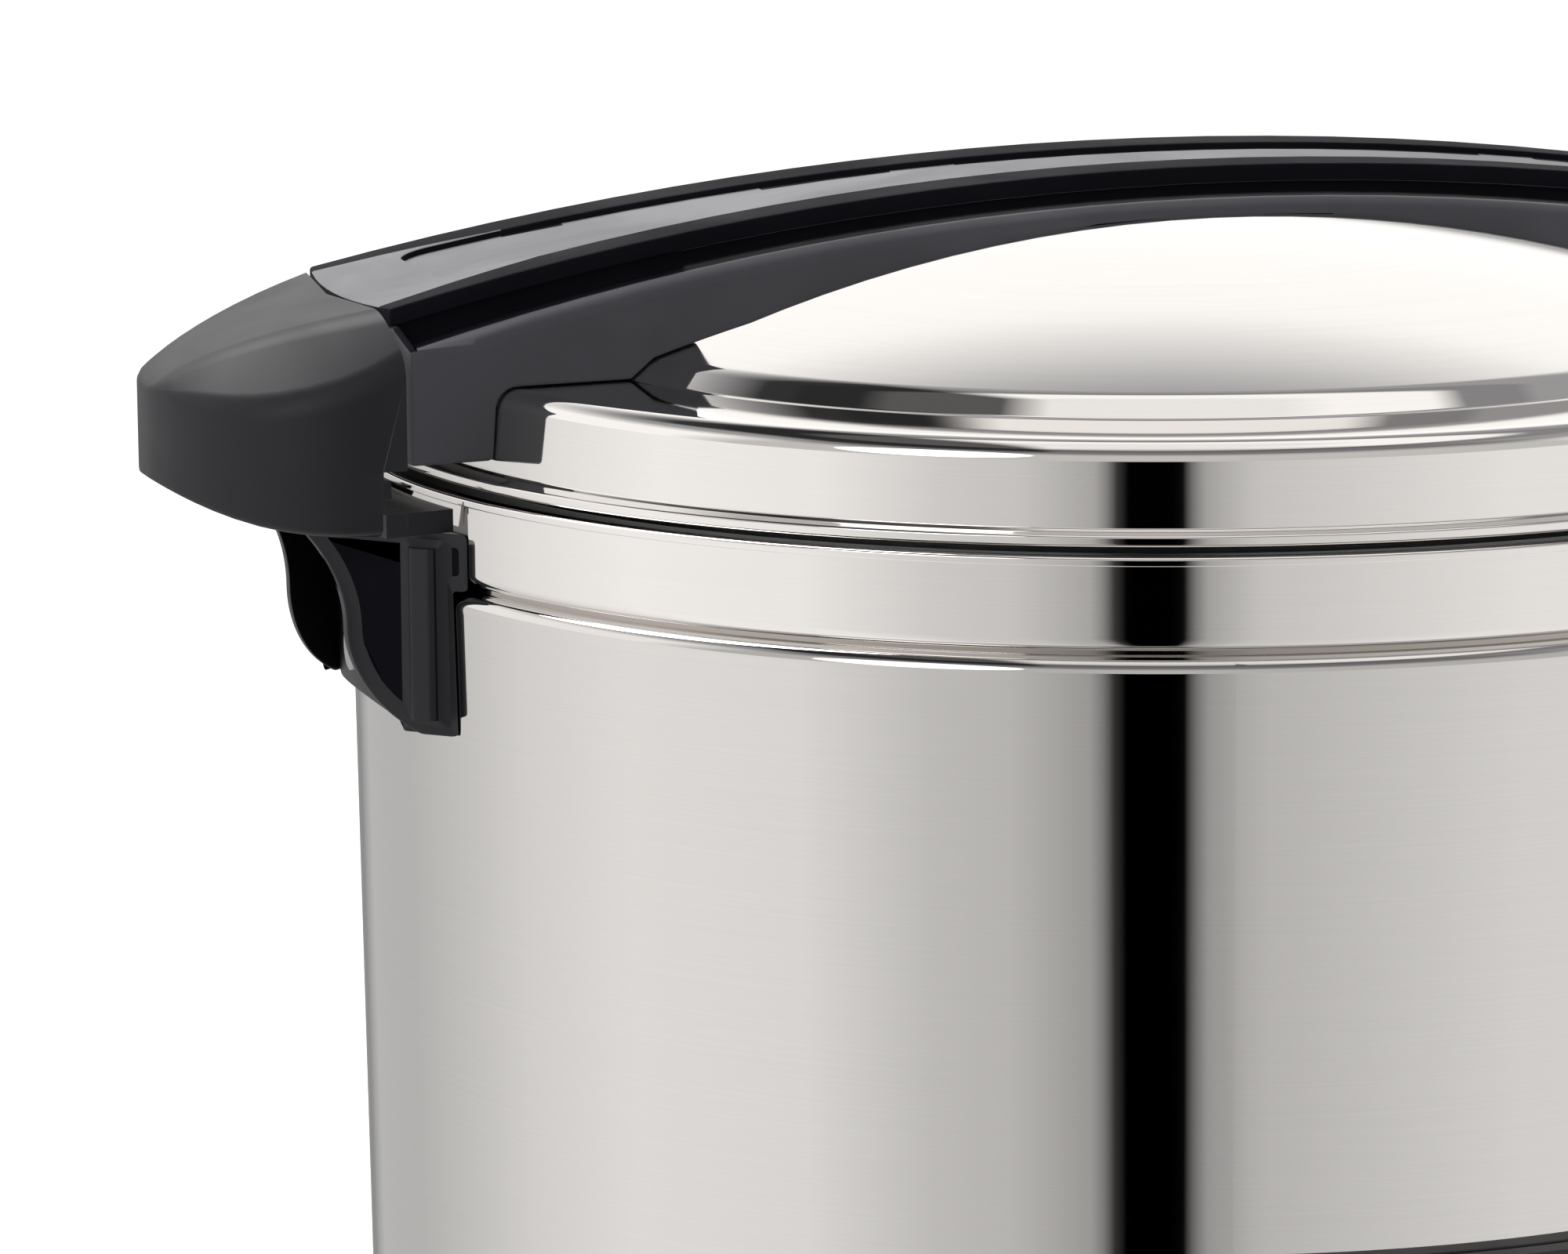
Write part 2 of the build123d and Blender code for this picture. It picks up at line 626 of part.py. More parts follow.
def make_exhaust_valve():
    """Pipe, weighted knob and strainer of the steam release, and the hole that they need in the lid."""
    x, y = EXHAUST_PLACE
    far = hypot(x, y)
    pipe_top = SEAM_HEIGHT + dome_height(far) + PIPE_RISE
    pipe_low = plate_under - CAP_HEIGHT / 2
    pipe = disc(x, y, pipe_low, PIPE_RADIUS, pipe_top - pipe_low)
    pipe -= disc(x, y, pipe_low, PIPE_BORE, pipe_top - pipe_low)
    knob_z = SEAM_HEIGHT + dome_height(far - KNOB_RADIUS) + KNOB_LIFT
    knob = disc(x, y, knob_z, KNOB_RADIUS, KNOB_HEIGHT)
    knob = fillet(knob.edges().group_by(Axis.Z)[-1], KNOB_HEIGHT / 5)
    knob -= disc(x, y, knob_z, PIPE_RADIUS + RUNNING_GAP, pipe_top - knob_z + PART_GAP)
    fin_z = knob_z + KNOB_HEIGHT - FIN_HEIGHT / 2
    for side in (-1, 1):
        beside = y + side * (FIN_WIDTH / 2 + KNOB_RADIUS / 2)
        knob -= Pos(x, beside, fin_z) * Box(2 * KNOB_RADIUS, KNOB_RADIUS, FIN_HEIGHT)
    cap_z = pipe_low - CAP_HEIGHT / 4
    cap = disc(x, y, cap_z, CAP_RADIUS, plate_under - cap_z)
    cap -= disc(x, y, pipe_low, PIPE_RADIUS, CAP_HEIGHT)
    for hole_x, hole_y in around(CAP_HOLES, (PIPE_RADIUS + CAP_RADIUS) / 2):
        cap -= disc(x + hole_x, y + hole_y, cap_z, CAP_HOLE_RADIUS, CAP_HEIGHT)
    save("exhaust_pipe", pipe)
    save("release_knob", knob)
    save("anti_block_cap", cap)
    return disc(x, y, SEAM_HEIGHT, PIPE_RADIUS + SEAT_GAP, DOME_TOP)


def make_float_valve():
    """Float pin and its bush, and the hole that they need in the lid."""
    x, y = FLOAT_PLACE
    outer = FLOAT_RADIUS + BUSH_WALL
    dome_near = SEAM_HEIGHT + dome_height(hypot(x, y) - outer)
    bush_top = dome_near + BUSH_RISE
    bush = disc(x, y, plate_under, outer, bush_top - plate_under)
    bush += disc(x, y, bush_top - BUSH_COLLAR, outer + BUSH_WALL / 2, BUSH_COLLAR)
    bush -= disc(x, y, plate_under, FLOAT_RADIUS + RUNNING_GAP, bush_top - plate_under)
    head_top = plate_under - FLOAT_TRAVEL - PART_GAP
    pin = disc(x, y, head_top, FLOAT_RADIUS, bush_top + FLOAT_RISE - head_top)
    pin = fillet(pin.edges().group_by(Axis.Z)[-1], FLOAT_RADIUS / 4)
    pin += disc(x, y, head_top - HEAD_HEIGHT, FLOAT_HEAD, HEAD_HEIGHT)
    save("float_bushing", bush)
    save("float_valve", pin)
    return disc(x, y, SEAM_HEIGHT, outer + SEAT_GAP, DOME_TOP)


# Lid handle


def arc_height(top, radius, x):
    return top - radius + sqrt(radius**2 - x**2)


def arch_face(top, radius):
    """Side view of the handle under an arc: two feet and the hollow between them."""
    reach = handle_end + CHEEK
    end = arc_height(top, radius, reach)
    spring = arc_height(UNDER_TOP, UNDER_RADIUS, foot_reach)
    outline = ThreePointArc((-reach, end), (0, top), (reach, end))
    outline += ThreePointArc((foot_reach, spring), (0, UNDER_TOP), (-foot_reach, spring))
    for side in (-1, 1):
        inner = side * foot_reach
        outer = side * reach
        outline += Polyline((outer, end), (outer, FOOT_BOTTOM), (inner, FOOT_BOTTOM), (inner, spring))
    return Pos(0, 0, SEAM_HEIGHT) * (Plane.XZ * make_face(outline))


def band_face(top, radius, depth):
    """Side view of a band of even depth under an arc."""
    reach = handle_end + CHEEK
    high = arc_height(top, radius, reach)
    low = arc_height(top - depth, radius - depth, reach)
    outline = ThreePointArc((-reach, high), (0, top), (reach, high))
    outline += Line((reach, high), (reach, low))
    outline += ThreePointArc((reach, low), (0, top - depth), (-reach, low))
    outline += Line((-reach, low), (-reach, high))
    return Pos(0, 0, SEAM_HEIGHT) * (Plane.XZ * make_face(outline))


def waisted(half_middle, half_end, reach, rounding=0.0):
    """Upright block whose plan is narrow in the middle and wider towards both ends."""
    outline = ThreePointArc((-reach, half_end), (0, half_middle), (reach, half_end))
    outline += Line((reach, half_end), (reach, -half_end))
    outline += ThreePointArc((reach, -half_end), (0, -half_middle), (-reach, -half_end))
    outline += Line((-reach, -half_end), (-reach, half_end))
    plan = Sketch() + make_face(outline)
    if rounding:
        plan = fillet(plan.vertices(), rounding)
    return Pos(0, 0, SEAM_HEIGHT) * extrude(plan, 2 * ARCH_TOP)


def faceted(profile, half_flat, run, drop):
    """Block with the given side view, flat across its top and bevelled along both sides."""
    block = extrude(profile, half_flat, both=True)
    for side in (-1, 1):
        face = Pos(0, side * half_flat, 0) * profile
        block += extrude(face, hypot(run, drop), dir=(0, side * run, -drop))
    return block


def make_lid_handle():
    inside = disc(0, 0, SEAM_HEIGHT, handle_end, 2 * ARCH_TOP)
    core = disc(0, 0, SEAM_HEIGHT, handle_end - CHEEK, 2 * ARCH_TOP)
    under = ARCH_TOP - COVER_THICKNESS
    under_radius = ARCH_RADIUS - COVER_THICKNESS
    reach = handle_end + CHEEK
    lip_plan = waisted(LIP_HALF_WIDTH, LIP_END_WIDTH, reach)
    lip = extrude(arch_face(LIP_TOP, LIP_RADIUS), LIP_END_WIDTH, both=True) & lip_plan
    neck_plan = waisted(COVER_HALF_WIDTH - NECK_INSET, COVER_END_WIDTH - NECK_INSET, reach)
    neck = extrude(arch_face(under, under_radius), LIP_END_WIDTH, both=True) & neck_plan
    end_drop = arc_height(under, under_radius, handle_end) - arc_height(LIP_TOP, LIP_RADIUS, handle_end)
    bevel_run = LIP_END_WIDTH - COVER_END_WIDTH
    bevel = faceted(arch_face(under, under_radius), COVER_END_WIDTH, bevel_run, end_drop)
    above = disc(0, 0, SEAM_HEIGHT + FOOT_BOTTOM, handle_end, 2 * ARCH_TOP)
    cheeks = (bevel & lip_plan & above) - core
    handle = ((lip + neck) & inside) + cheeks
    handle -= lid_form(SEAT_GAP)
    for x in (-handle_screw_x, handle_screw_x):
        for y in (-HANDLE_SCREW_Y, HANDLE_SCREW_Y):
            bore = BASE_SCREW_RADIUS + RUNNING_GAP
            handle -= disc(x, y, SEAM_HEIGHT, bore, LID_TOP + HANDLE_SCREW_LENGTH)
    slab = extrude(band_face(ARCH_TOP, ARCH_RADIUS, COVER_THICKNESS), LIP_END_WIDTH, both=True)
    cover = slab & waisted(COVER_HALF_WIDTH, COVER_END_WIDTH, reach) & inside
    trough_half = COVER_HALF_WIDTH - TROUGH_INSET
    trough = waisted(trough_half, COVER_END_WIDTH - TROUGH_INSET, trough_end, TROUGH_ROUND)
    band = extrude(band_face(ARCH_TOP, ARCH_RADIUS, TROUGH_DEPTH), LIP_END_WIDTH, both=True)
    save("lid_handle", handle)
    save("handle_cover", cover - (trough & band))


def make_lid_handle_screws():
    """The four screws under the lid, and the holes that they need."""
    length = PLATE_THICKNESS + SHEET + HANDLE_SCREW_LENGTH
    screws = []
    holes = []
    for x in (-handle_screw_x, handle_screw_x):
        for y in (-HANDLE_SCREW_Y, HANDLE_SCREW_Y):
            head = disc(x, y, plate_under - SCREW_HEAD_HEIGHT, SCREW_HEAD_RADIUS, SCREW_HEAD_HEIGHT)
            screws.append(head + disc(x, y, plate_under, BASE_SCREW_RADIUS, length))
            holes.append(disc(x, y, plate_under, BASE_SCREW_RADIUS + SEAT_GAP, length))
    save("lid_handle_screws", group(screws))
    return holes


# Side handles


def grip_crown(x):
    """Height of a grip's middle line above the seam: the arch carried on, then rounded down to the nose."""
    start = arc_height(ARCH_TOP, ARCH_RADIUS, side_inner)
    if x <= side_inner:
        return arc_height(ARCH_TOP, ARCH_RADIUS, x)
    share = min(1.0, (x - side_inner) / GRIP_REACH)
    fall = CROWN_SLOPE * share + (1 - CROWN_SLOPE) * (1 - sqrt(1 - share**2))
    return start - (start - NOSE_TOP) * fall


def grip_section(x):
    """Cross-section of a grip: a flat that narrows and bevels that flatten towards the nose."""
    share = max(0.0, (x - side_inner) / GRIP_REACH)
    flat = GRIP_FLAT + (NOSE_FLAT - GRIP_FLAT) * share
    slope = BEVEL_SLOPE + (NOSE_SLOPE - BEVEL_SLOPE) * share
    top = grip_crown(x)
    wide = GRIP_HALF_WIDTH + CHEEK
    low = top - slope * (wide - flat)
    floor = 2 * BRACKET_BOTTOM
    points = [(-wide, floor), (-wide, low), (-flat, top), (flat, top), (wide, low), (wide, floor)]
    place = Plane(origin=(x, 0, SEAM_HEIGHT), x_dir=(0, 1, 0), z_dir=(1, 0, 0))
    return place * make_face(Polyline(*points, close=True))


def above_underside():
    """All that lies above a grip's underside, seen from the side."""
    inner = shelf_radius
    knee = (handle_tip - NOSE_ROUND, ROOT_BOTTOM + NOSE_ROUND / 2)
    outline = ThreePointArc((bracket_neck, ROOT_BOTTOM), knee, (handle_tip, NOSE_BOTTOM))
    outline += Polyline(
        (handle_tip, NOSE_BOTTOM),
        (handle_tip, ARCH_TOP),
        (inner, ARCH_TOP),
        (inner, ROOT_BOTTOM),
        (bracket_neck, ROOT_BOTTOM),
    )
    face = Pos(0, 0, SEAM_HEIGHT) * (Plane.XZ * make_face(outline))
    return extrude(face, 2 * GRIP_HALF_WIDTH, both=True)


def side_handle():
    """The grip on +X."""
    inner = shelf_radius
    stations = [inner] + [side_inner + share * GRIP_REACH for share in GRIP_STATIONS]
    block = loft([grip_section(x) for x in stations], ruled=True)
    half = GRIP_HALF_WIDTH
    nose = Pos(handle_tip - half, 0, 0) * Circle(half)
    root = Pos((handle_tip - half) / 2, 0, 0) * Rectangle(handle_tip - half, 2 * half)
    grip = block & extrude(nose + root, clear_height) & above_underside()
    notch_z = SEAM_HEIGHT + NOTCH_BOTTOM
    tall = NOTCH_TOP - NOTCH_BOTTOM
    grip -= disc(0, 0, 0, collar_radius + SEAT_GAP, clear_height)
    grip -= disc(0, 0, notch_z, side_inner, SEAM_HEIGHT)
    grip -= disc(0, 0, notch_z, side_inner + NOTCH_DEPTH, tall)
    tab_reach = side_inner + NOTCH_DEPTH / 4
    for side in (-1, 1):
        y = side * (half - TAB_WIDTH)
        tab = Box(NOTCH_DEPTH, TAB_WIDTH, TAB_THICKNESS)
        grip += Pos(sqrt(tab_reach**2 - y**2) + NOTCH_DEPTH / 2, y, notch_z + tall / 2) * tab
    return grip


def bracket_profile():
    """Side view of the bracket under a grip: it sweeps in below the grip, then round to the body."""
    inner = shelf_radius
    neck_z = (ROOT_BOTTOM + BRACKET_BOTTOM) / 2
    neck = (bracket_neck, neck_z)
    flare = (bracket_reach, ROOT_BOTTOM)
    toe = (BODY_RADIUS, BRACKET_BOTTOM)
    outline = TangentArc(neck, flare, tangent=(0, 1))
    outline += Polyline(flare, (bracket_reach, NOSE_TOP), (inner, NOSE_TOP), (inner, BRACKET_BOTTOM), toe)
    outline += TangentArc(neck, toe, tangent=(0, -1))
    return Pos(0, 0, SEAM_HEIGHT) * (Plane.XZ * make_face(outline))


def wedge_plan(root_half, tip_half, tip):
    """Upright block whose plan narrows from the body outwards."""
    inner = shelf_radius
    corners = [(inner, -root_half), (inner, root_half), (tip, tip_half), (tip, -tip_half)]
    return extrude(make_face(Polyline(*corners, close=True)), clear_height)


def rod_along_x(start, z, radius, length):
    """A round rod that runs outwards along +X from start, at height z."""
    return Pos(start + length / 2, 0, z) * Rot(0, 90, 0) * Cylinder(radius, length)


def side_bracket():
    """The hollow bracket under the grip on +X, and its screws."""
    inner = shelf_radius
    solid = extrude(bracket_profile(), 2 * BRACKET_HALF_ROOT, both=True)
    outside = wedge_plan(BRACKET_HALF_ROOT, BRACKET_HALF_TIP, bracket_reach)
    run = Vector(bracket_reach - inner, BRACKET_HALF_TIP - BRACKET_HALF_ROOT)
    thick = BRACKET_WALL * run.length / run.X
    hollow = wedge_plan(BRACKET_HALF_ROOT - thick, BRACKET_HALF_TIP - thick, bracket_reach)
    web = disc(0, 0, 0, BODY_RADIUS + BRACKET_WALL, clear_height)
    bracket = (solid & outside) - (hollow - web)
    along = run.normalized()
    wall_top = SEAM_HEIGHT + ROOT_BOTTOM
    wall_low = SEAM_HEIGHT + BRACKET_BOTTOM
    for side in (-1, 1):
        wall = Plane(
            origin=(inner, side * BRACKET_HALF_ROOT, 0),
            x_dir=(along.X, side * along.Y, 0),
            z_dir=(-along.Y, side * along.X, 0),
        )
        upright = Rectangle(RIB_WIDTH, wall_top - wall_low - RIB_WIDTH)
        place = wall * Pos(BODY_RADIUS - inner + RIB_WIDTH / 2, -side * (wall_top + wall_low) / 2, 0)
        bracket += place * extrude(upright, RIB_HEIGHT)
    bracket -= housing_solid(SEAT_GAP)
    bracket -= disc(0, 0, 0, collar_radius + SEAT_GAP, clear_height)
    bracket -= above_underside()
    screws = []
    holes = []
    face = BODY_RADIUS + BRACKET_WALL
    for height in BRACKET_SCREW_HEIGHTS:
        z = SEAM_HEIGHT + height
        start = face - BRACKET_SCREW_LENGTH
        shank = rod_along_x(start, z, BRACKET_SCREW_RADIUS, BRACKET_SCREW_LENGTH)
        screws.append(shank + rod_along_x(face, z, SCREW_HEAD_RADIUS, SCREW_HEAD_HEIGHT))
        holes.append(rod_along_x(start, z, BRACKET_SCREW_RADIUS + SEAT_GAP, BRACKET_SCREW_LENGTH))
    return bracket - holes, screws, holes


def make_side_handles():
    """Both grips with their brackets and screws; gives back the holes in the housing."""
    grip = side_handle()
    bracket, screws, holes = side_bracket()
    save("right_handle", grip)
    save("left_handle", mirror(grip, Plane.YZ))
    save("right_bracket", bracket)
    save("left_bracket", mirror(bracket, Plane.YZ))
    save("handle_screws", group(screws + [mirror(screw, Plane.YZ) for screw in screws]))
    return holes + [mirror(hole, Plane.YZ) for hole in holes]


# Control panel


def front_block(sketch, x, z):
    """A sketch seen from the front, pushed out from the cooker's axis past the panel."""
    return Pos(x, 0, z) * extrude(Plane.XZ * sketch, button_face + PANEL_PROUD)


def button_places():
    upper = PANEL_HEIGHT - BUTTON_ROW_DROP
    names = ("mode", "pressure", "time", "warm", "start", "cancel")
    for k, name in enumerate(names):
        column = k % 3 - 1
        row = k // 3
        yield f"button_{name}", column * BUTTON_PITCH_X, upper - row * BUTTON_PITCH_Z


def make_panel():
    outline = RectangleRounded(PANEL_WIDTH, PANEL_TALL, PANEL_ROUND)
    lens_z = PANEL_HEIGHT + LENS_RISE
    face = Cylinder(panel_face, clear_height)
    body = housing_solid(SEAT_GAP)
    bezel = (front_block(outline, 0, PANEL_HEIGHT) & face) - body
    board_wide = PANEL_WIDTH - 2 * PANEL_OVERLAP - 2 * BOARD_MARGIN
    board_tall = PANEL_TALL - 2 * PANEL_OVERLAP - 2 * BOARD_MARGIN
    board_middle = BOARD_THICKNESS / 2 - board_front
    board = Pos(0, board_middle, PANEL_HEIGHT) * Box(board_wide, BOARD_THICKNESS, board_tall)
    before_board = Pos(0, -board_front, PANEL_HEIGHT)
    before_board = before_board * extrude(Plane.XZ * Rectangle(PANEL_WIDTH, PANEL_TALL), PANEL_WIDTH)
    post_x = board_wide / 2 - PANEL_POST_INSET
    post_z = board_tall / 2 - PANEL_POST_INSET
    for x in (-post_x, post_x):
        for z in (PANEL_HEIGHT - post_z, PANEL_HEIGHT + post_z):
            post = front_block(Circle(PANEL_POST_RADIUS), x, z)
            bezel += post & before_board & Cylinder(BODY_RADIUS, clear_height)
    seat = Cylinder(panel_face - LENS_SEAT, clear_height)
    bezel -= front_block(RectangleRounded(LENS_WIDTH, LENS_TALL, LENS_SEAT), 0, lens_z) - seat
    open_wide = LENS_WIDTH - 2 * LENS_SEAT
    open_tall = LENS_TALL - 2 * LENS_SEAT
    bezel -= front_block(RectangleRounded(open_wide, open_tall, LENS_SEAT / 2), 0, lens_z)
    pane = RectangleRounded(LENS_WIDTH - 2 * SEAT_GAP, LENS_TALL - 2 * SEAT_GAP, LENS_SEAT)
    lens = front_block(pane, 0, lens_z) & Cylinder(panel_face - LENS_SEAT + LENS_THICKNESS, clear_height)
    module = Box(open_wide - 2 * DISPLAY_GAP, DISPLAY_DEPTH, open_tall - 2 * DISPLAY_GAP)
    back = panel_face - BUTTON_DEPTH
    stem_end = board_front + SWITCH_HEIGHT + BUTTON_TRAVEL + SEAT_GAP
    for name, x, z in button_places():
        bezel -= front_block(Circle(BUTTON_RADIUS + PART_GAP), x, z)
        behind = Pos(x, -back / 2, z) * Box(3 * BUTTON_RADIUS, back, 3 * BUTTON_RADIUS)
        cap = (front_block(Circle(BUTTON_RADIUS), x, z) & Cylinder(button_face, clear_height)) - behind
        stem = Pos(x, -stem_end, z) * extrude(Plane.XZ * Circle(STEM_RADIUS), back - stem_end)
        switch_place = Pos(x, -board_front - SWITCH_HEIGHT / 2, z)
        board += switch_place * Box(SWITCH_SIZE, SWITCH_HEIGHT, SWITCH_SIZE)
        save(name, cap + stem)
    save("control_panel", bezel)
    save("display_lens", lens - seat)
    save("display_module", Pos(0, -board_front - DISPLAY_DEPTH / 2, lens_z) * module)
    save("circuit_board", board)


# Power inlet


def make_inlet():
    place = Pos(0, button_face, INLET_HEIGHT)
    flange_wide = INLET_WIDTH + 2 * INLET_BORDER
    flange = RectangleRounded(flange_wide, INLET_TALL + 2 * INLET_BORDER, INLET_ROUND)
    block = place * extrude(Plane.XZ * flange, INLET_LENGTH) - housing_solid(SEAT_GAP)
    body = RectangleRounded(INLET_WIDTH, INLET_TALL, INLET_ROUND)
    block += place * extrude(Plane.XZ * body, INLET_LENGTH)
    socket_wide = INLET_WIDTH - 2 * INLET_WALL
    socket = RectangleRounded(socket_wide, INLET_TALL - 2 * INLET_WALL, INLET_ROUND - INLET_WALL / 2)
    block -= place * extrude(Plane.XZ * socket, SOCKET_DEPTH)
    pins = []
    for k in (-1, 0, 1):
        rise = PIN_TALL / 2 if k == 0 else -PIN_TALL / 2
        pin_z = INLET_HEIGHT + rise
        y = button_face - SOCKET_DEPTH + PIN_LENGTH / 2
        pins.append(Pos(k * PIN_PITCH, y, pin_z) * Box(PIN_WIDTH, PIN_LENGTH, PIN_TALL))
    save("power_inlet", block)
    save("inlet_pins", group(pins))


handle_holes = make_side_handles()
lid_holes = make_lid_handle_screws() + [make_exhaust_valve(), make_float_valve()]
make_outer_housing(handle_holes)
make_top_collar()
make_base()
make_outer_pot()
make_heater()
make_thermostat()
make_inner_pot()
make_lid_cover(lid_holes)
make_lid_plate(lid_holes)
make_liner()
make_lid_post()
make_lid_handle()
make_panel()
make_inlet()
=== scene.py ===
"""Looks of an electric pressure cooker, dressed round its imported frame.

Every length is in metres, in the frame's own axes: +Z up, control panel to -Y, side grips on X.
"""

import json
import logging
import math
from collections.abc import Callable, Mapping, Sequence
from dataclasses import dataclass, field
from enum import Enum

import bmesh
import bpy
from mathutils import Matrix, Vector


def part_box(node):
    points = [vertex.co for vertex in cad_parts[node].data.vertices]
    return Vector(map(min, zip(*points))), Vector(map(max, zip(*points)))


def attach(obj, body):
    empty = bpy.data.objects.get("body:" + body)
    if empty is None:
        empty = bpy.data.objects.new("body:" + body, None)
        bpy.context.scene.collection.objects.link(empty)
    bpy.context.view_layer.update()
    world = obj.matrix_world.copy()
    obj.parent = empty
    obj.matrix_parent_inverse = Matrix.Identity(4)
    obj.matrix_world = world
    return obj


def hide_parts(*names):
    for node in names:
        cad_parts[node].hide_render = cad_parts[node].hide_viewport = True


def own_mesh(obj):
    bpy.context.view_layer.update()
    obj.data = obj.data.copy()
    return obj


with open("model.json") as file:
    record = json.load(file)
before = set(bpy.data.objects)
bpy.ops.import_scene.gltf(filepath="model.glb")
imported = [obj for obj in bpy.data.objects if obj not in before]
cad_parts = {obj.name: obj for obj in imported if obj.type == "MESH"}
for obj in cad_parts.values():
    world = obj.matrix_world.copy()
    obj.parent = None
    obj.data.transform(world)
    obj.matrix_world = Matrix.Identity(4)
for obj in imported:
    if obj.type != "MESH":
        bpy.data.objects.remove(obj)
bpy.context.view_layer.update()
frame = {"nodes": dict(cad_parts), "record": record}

MM = 0.001
TINY = 1e-6
SPIN_STEPS = 288
ROUND_STEPS = 8
SOFT_STEPS = 2
SHARP_ANGLE = math.radians(28)
FLAT_ANGLE = math.radians(0.4)

Colour = tuple[float, float, float]
Corner = tuple[float, float, float]
Span = tuple[float, float]
Socket = bpy.types.NodeSocket
Material = bpy.types.Material
Mesh = bmesh.types.BMesh
Face = bmesh.types.BMFace
Edge = bmesh.types.BMEdge
Vert = bmesh.types.BMVert

log = logging.getLogger("cooker")


class Slot(Enum):
    """Material slots of the record."""

    HOUSING_STEEL = "housing_steel"
    LID_STEEL = "lid_steel"
    INNER_STEEL = "inner_steel"
    POT_ALUMINIUM = "pot_aluminium"
    SHELL_METAL = "shell_metal"
    CAST_ALUMINIUM = "cast_aluminium"
    BRACKET_STEEL = "bracket_steel"
    SCREW_STEEL = "screw_steel"
    HANDLE_PLASTIC = "handle_plastic"
    COVER_PLASTIC = "cover_plastic"
    BLACK_PLASTIC = "black_plastic"
    BUTTON_PLASTIC = "button_plastic"
    DISPLAY_GLASS = "display_glass"
    DISPLAY_DARK = "display_dark"
    BOARD_GREEN = "board_green"
    SILICONE = "silicone"
    FOOT_RUBBER = "foot_rubber"


class Body(Enum):
    """Bodies of the frame that new pieces ride on."""

    BASE = "base"
    LID = "lid"
    RELEASE_VALVE = "release_valve"
    MODE_BUTTON = "mode_button"
    PRESSURE_BUTTON = "pressure_button"
    TIME_BUTTON = "time_button"
    WARM_BUTTON = "warm_button"
    START_BUTTON = "start_button"
    CANCEL_BUTTON = "cancel_button"


class SkyTone(Enum):
    """Tones of the sky that the steel mirrors."""

    BRIGHT = (1.0, 0.99, 0.98)
    TOP = (0.86, 0.855, 0.85)
    HALF = (0.68, 0.68, 0.68)
    DIM = (0.33, 0.33, 0.34)
    DARK = (0.24, 0.24, 0.25)


class Graph:
    """A node tree with short calls for adding and joining nodes."""

    def __init__(self, tree: bpy.types.NodeTree) -> None:
        """Takes a node tree and empties it."""
        self.tree = tree
        tree.nodes.clear()

    def add(
        self,
        kind: str,
        inputs: Mapping[str | int, object] | None = None,
        **settings: object,
    ) -> bpy.types.Node:
        """Adds a node.

        Args:
            kind: Blender's name of the node type.
            inputs: values or sockets for the node's inputs, by name or number.
            settings: properties of the node itself.

        Returns:
            The new node.
        """
        node = self.tree.nodes.new(kind)
        for key, value in settings.items():
            setattr(node, key, value)
        for key, value in (inputs or {}).items():
            if isinstance(value, Socket):
                self.tree.links.new(value, node.inputs[key])
            else:
                node.inputs[key].default_value = value
        return node

    def math(self, operation: str, first: Socket | float, second: Socket | float) -> Socket:
        """Works out one of Blender's sums of two values and gives its socket."""
        return self.add("ShaderNodeMath", {0: first, 1: second}, operation=operation).outputs[0]

    def along(self, way: Socket, axis: Vector) -> Socket:
        """Gives the socket of how far a direction points along an axis."""
        return self.add("ShaderNodeVectorMath", {0: way, 1: axis}, operation="DOT_PRODUCT").outputs["Value"]

    def spread(
        self,
        value: Socket,
        source: Span = (0.0, 1.0),
        target: tuple[Socket | float, Socket | float] = (0.0, 1.0),
    ) -> Socket:
        """Carries a value over from a source range to a target range and gives its socket."""
        ends = {"From Min": source[0], "From Max": source[1], "To Min": target[0], "To Max": target[1]}
        return self.add("ShaderNodeMapRange", {"Value": value, **ends}).outputs["Result"]

    def ramp(self, factor: Socket, stops: Sequence[tuple[float, Colour]]) -> Socket:
        """Adds a colour ramp.

        Args:
            factor: the socket that drives it.
            stops: position and colour of each stop, in order.

        Returns:
            The ramp's colour socket.
        """
        node = self.add("ShaderNodeValToRGB", {"Fac": factor})
        elements = node.color_ramp.elements
        while len(elements) < len(stops):
            elements.new(1.0)
        for element, (position, colour) in zip(elements, stops):
            element.position = position
            element.color = (*colour, 1.0)
        return node.outputs["Color"]


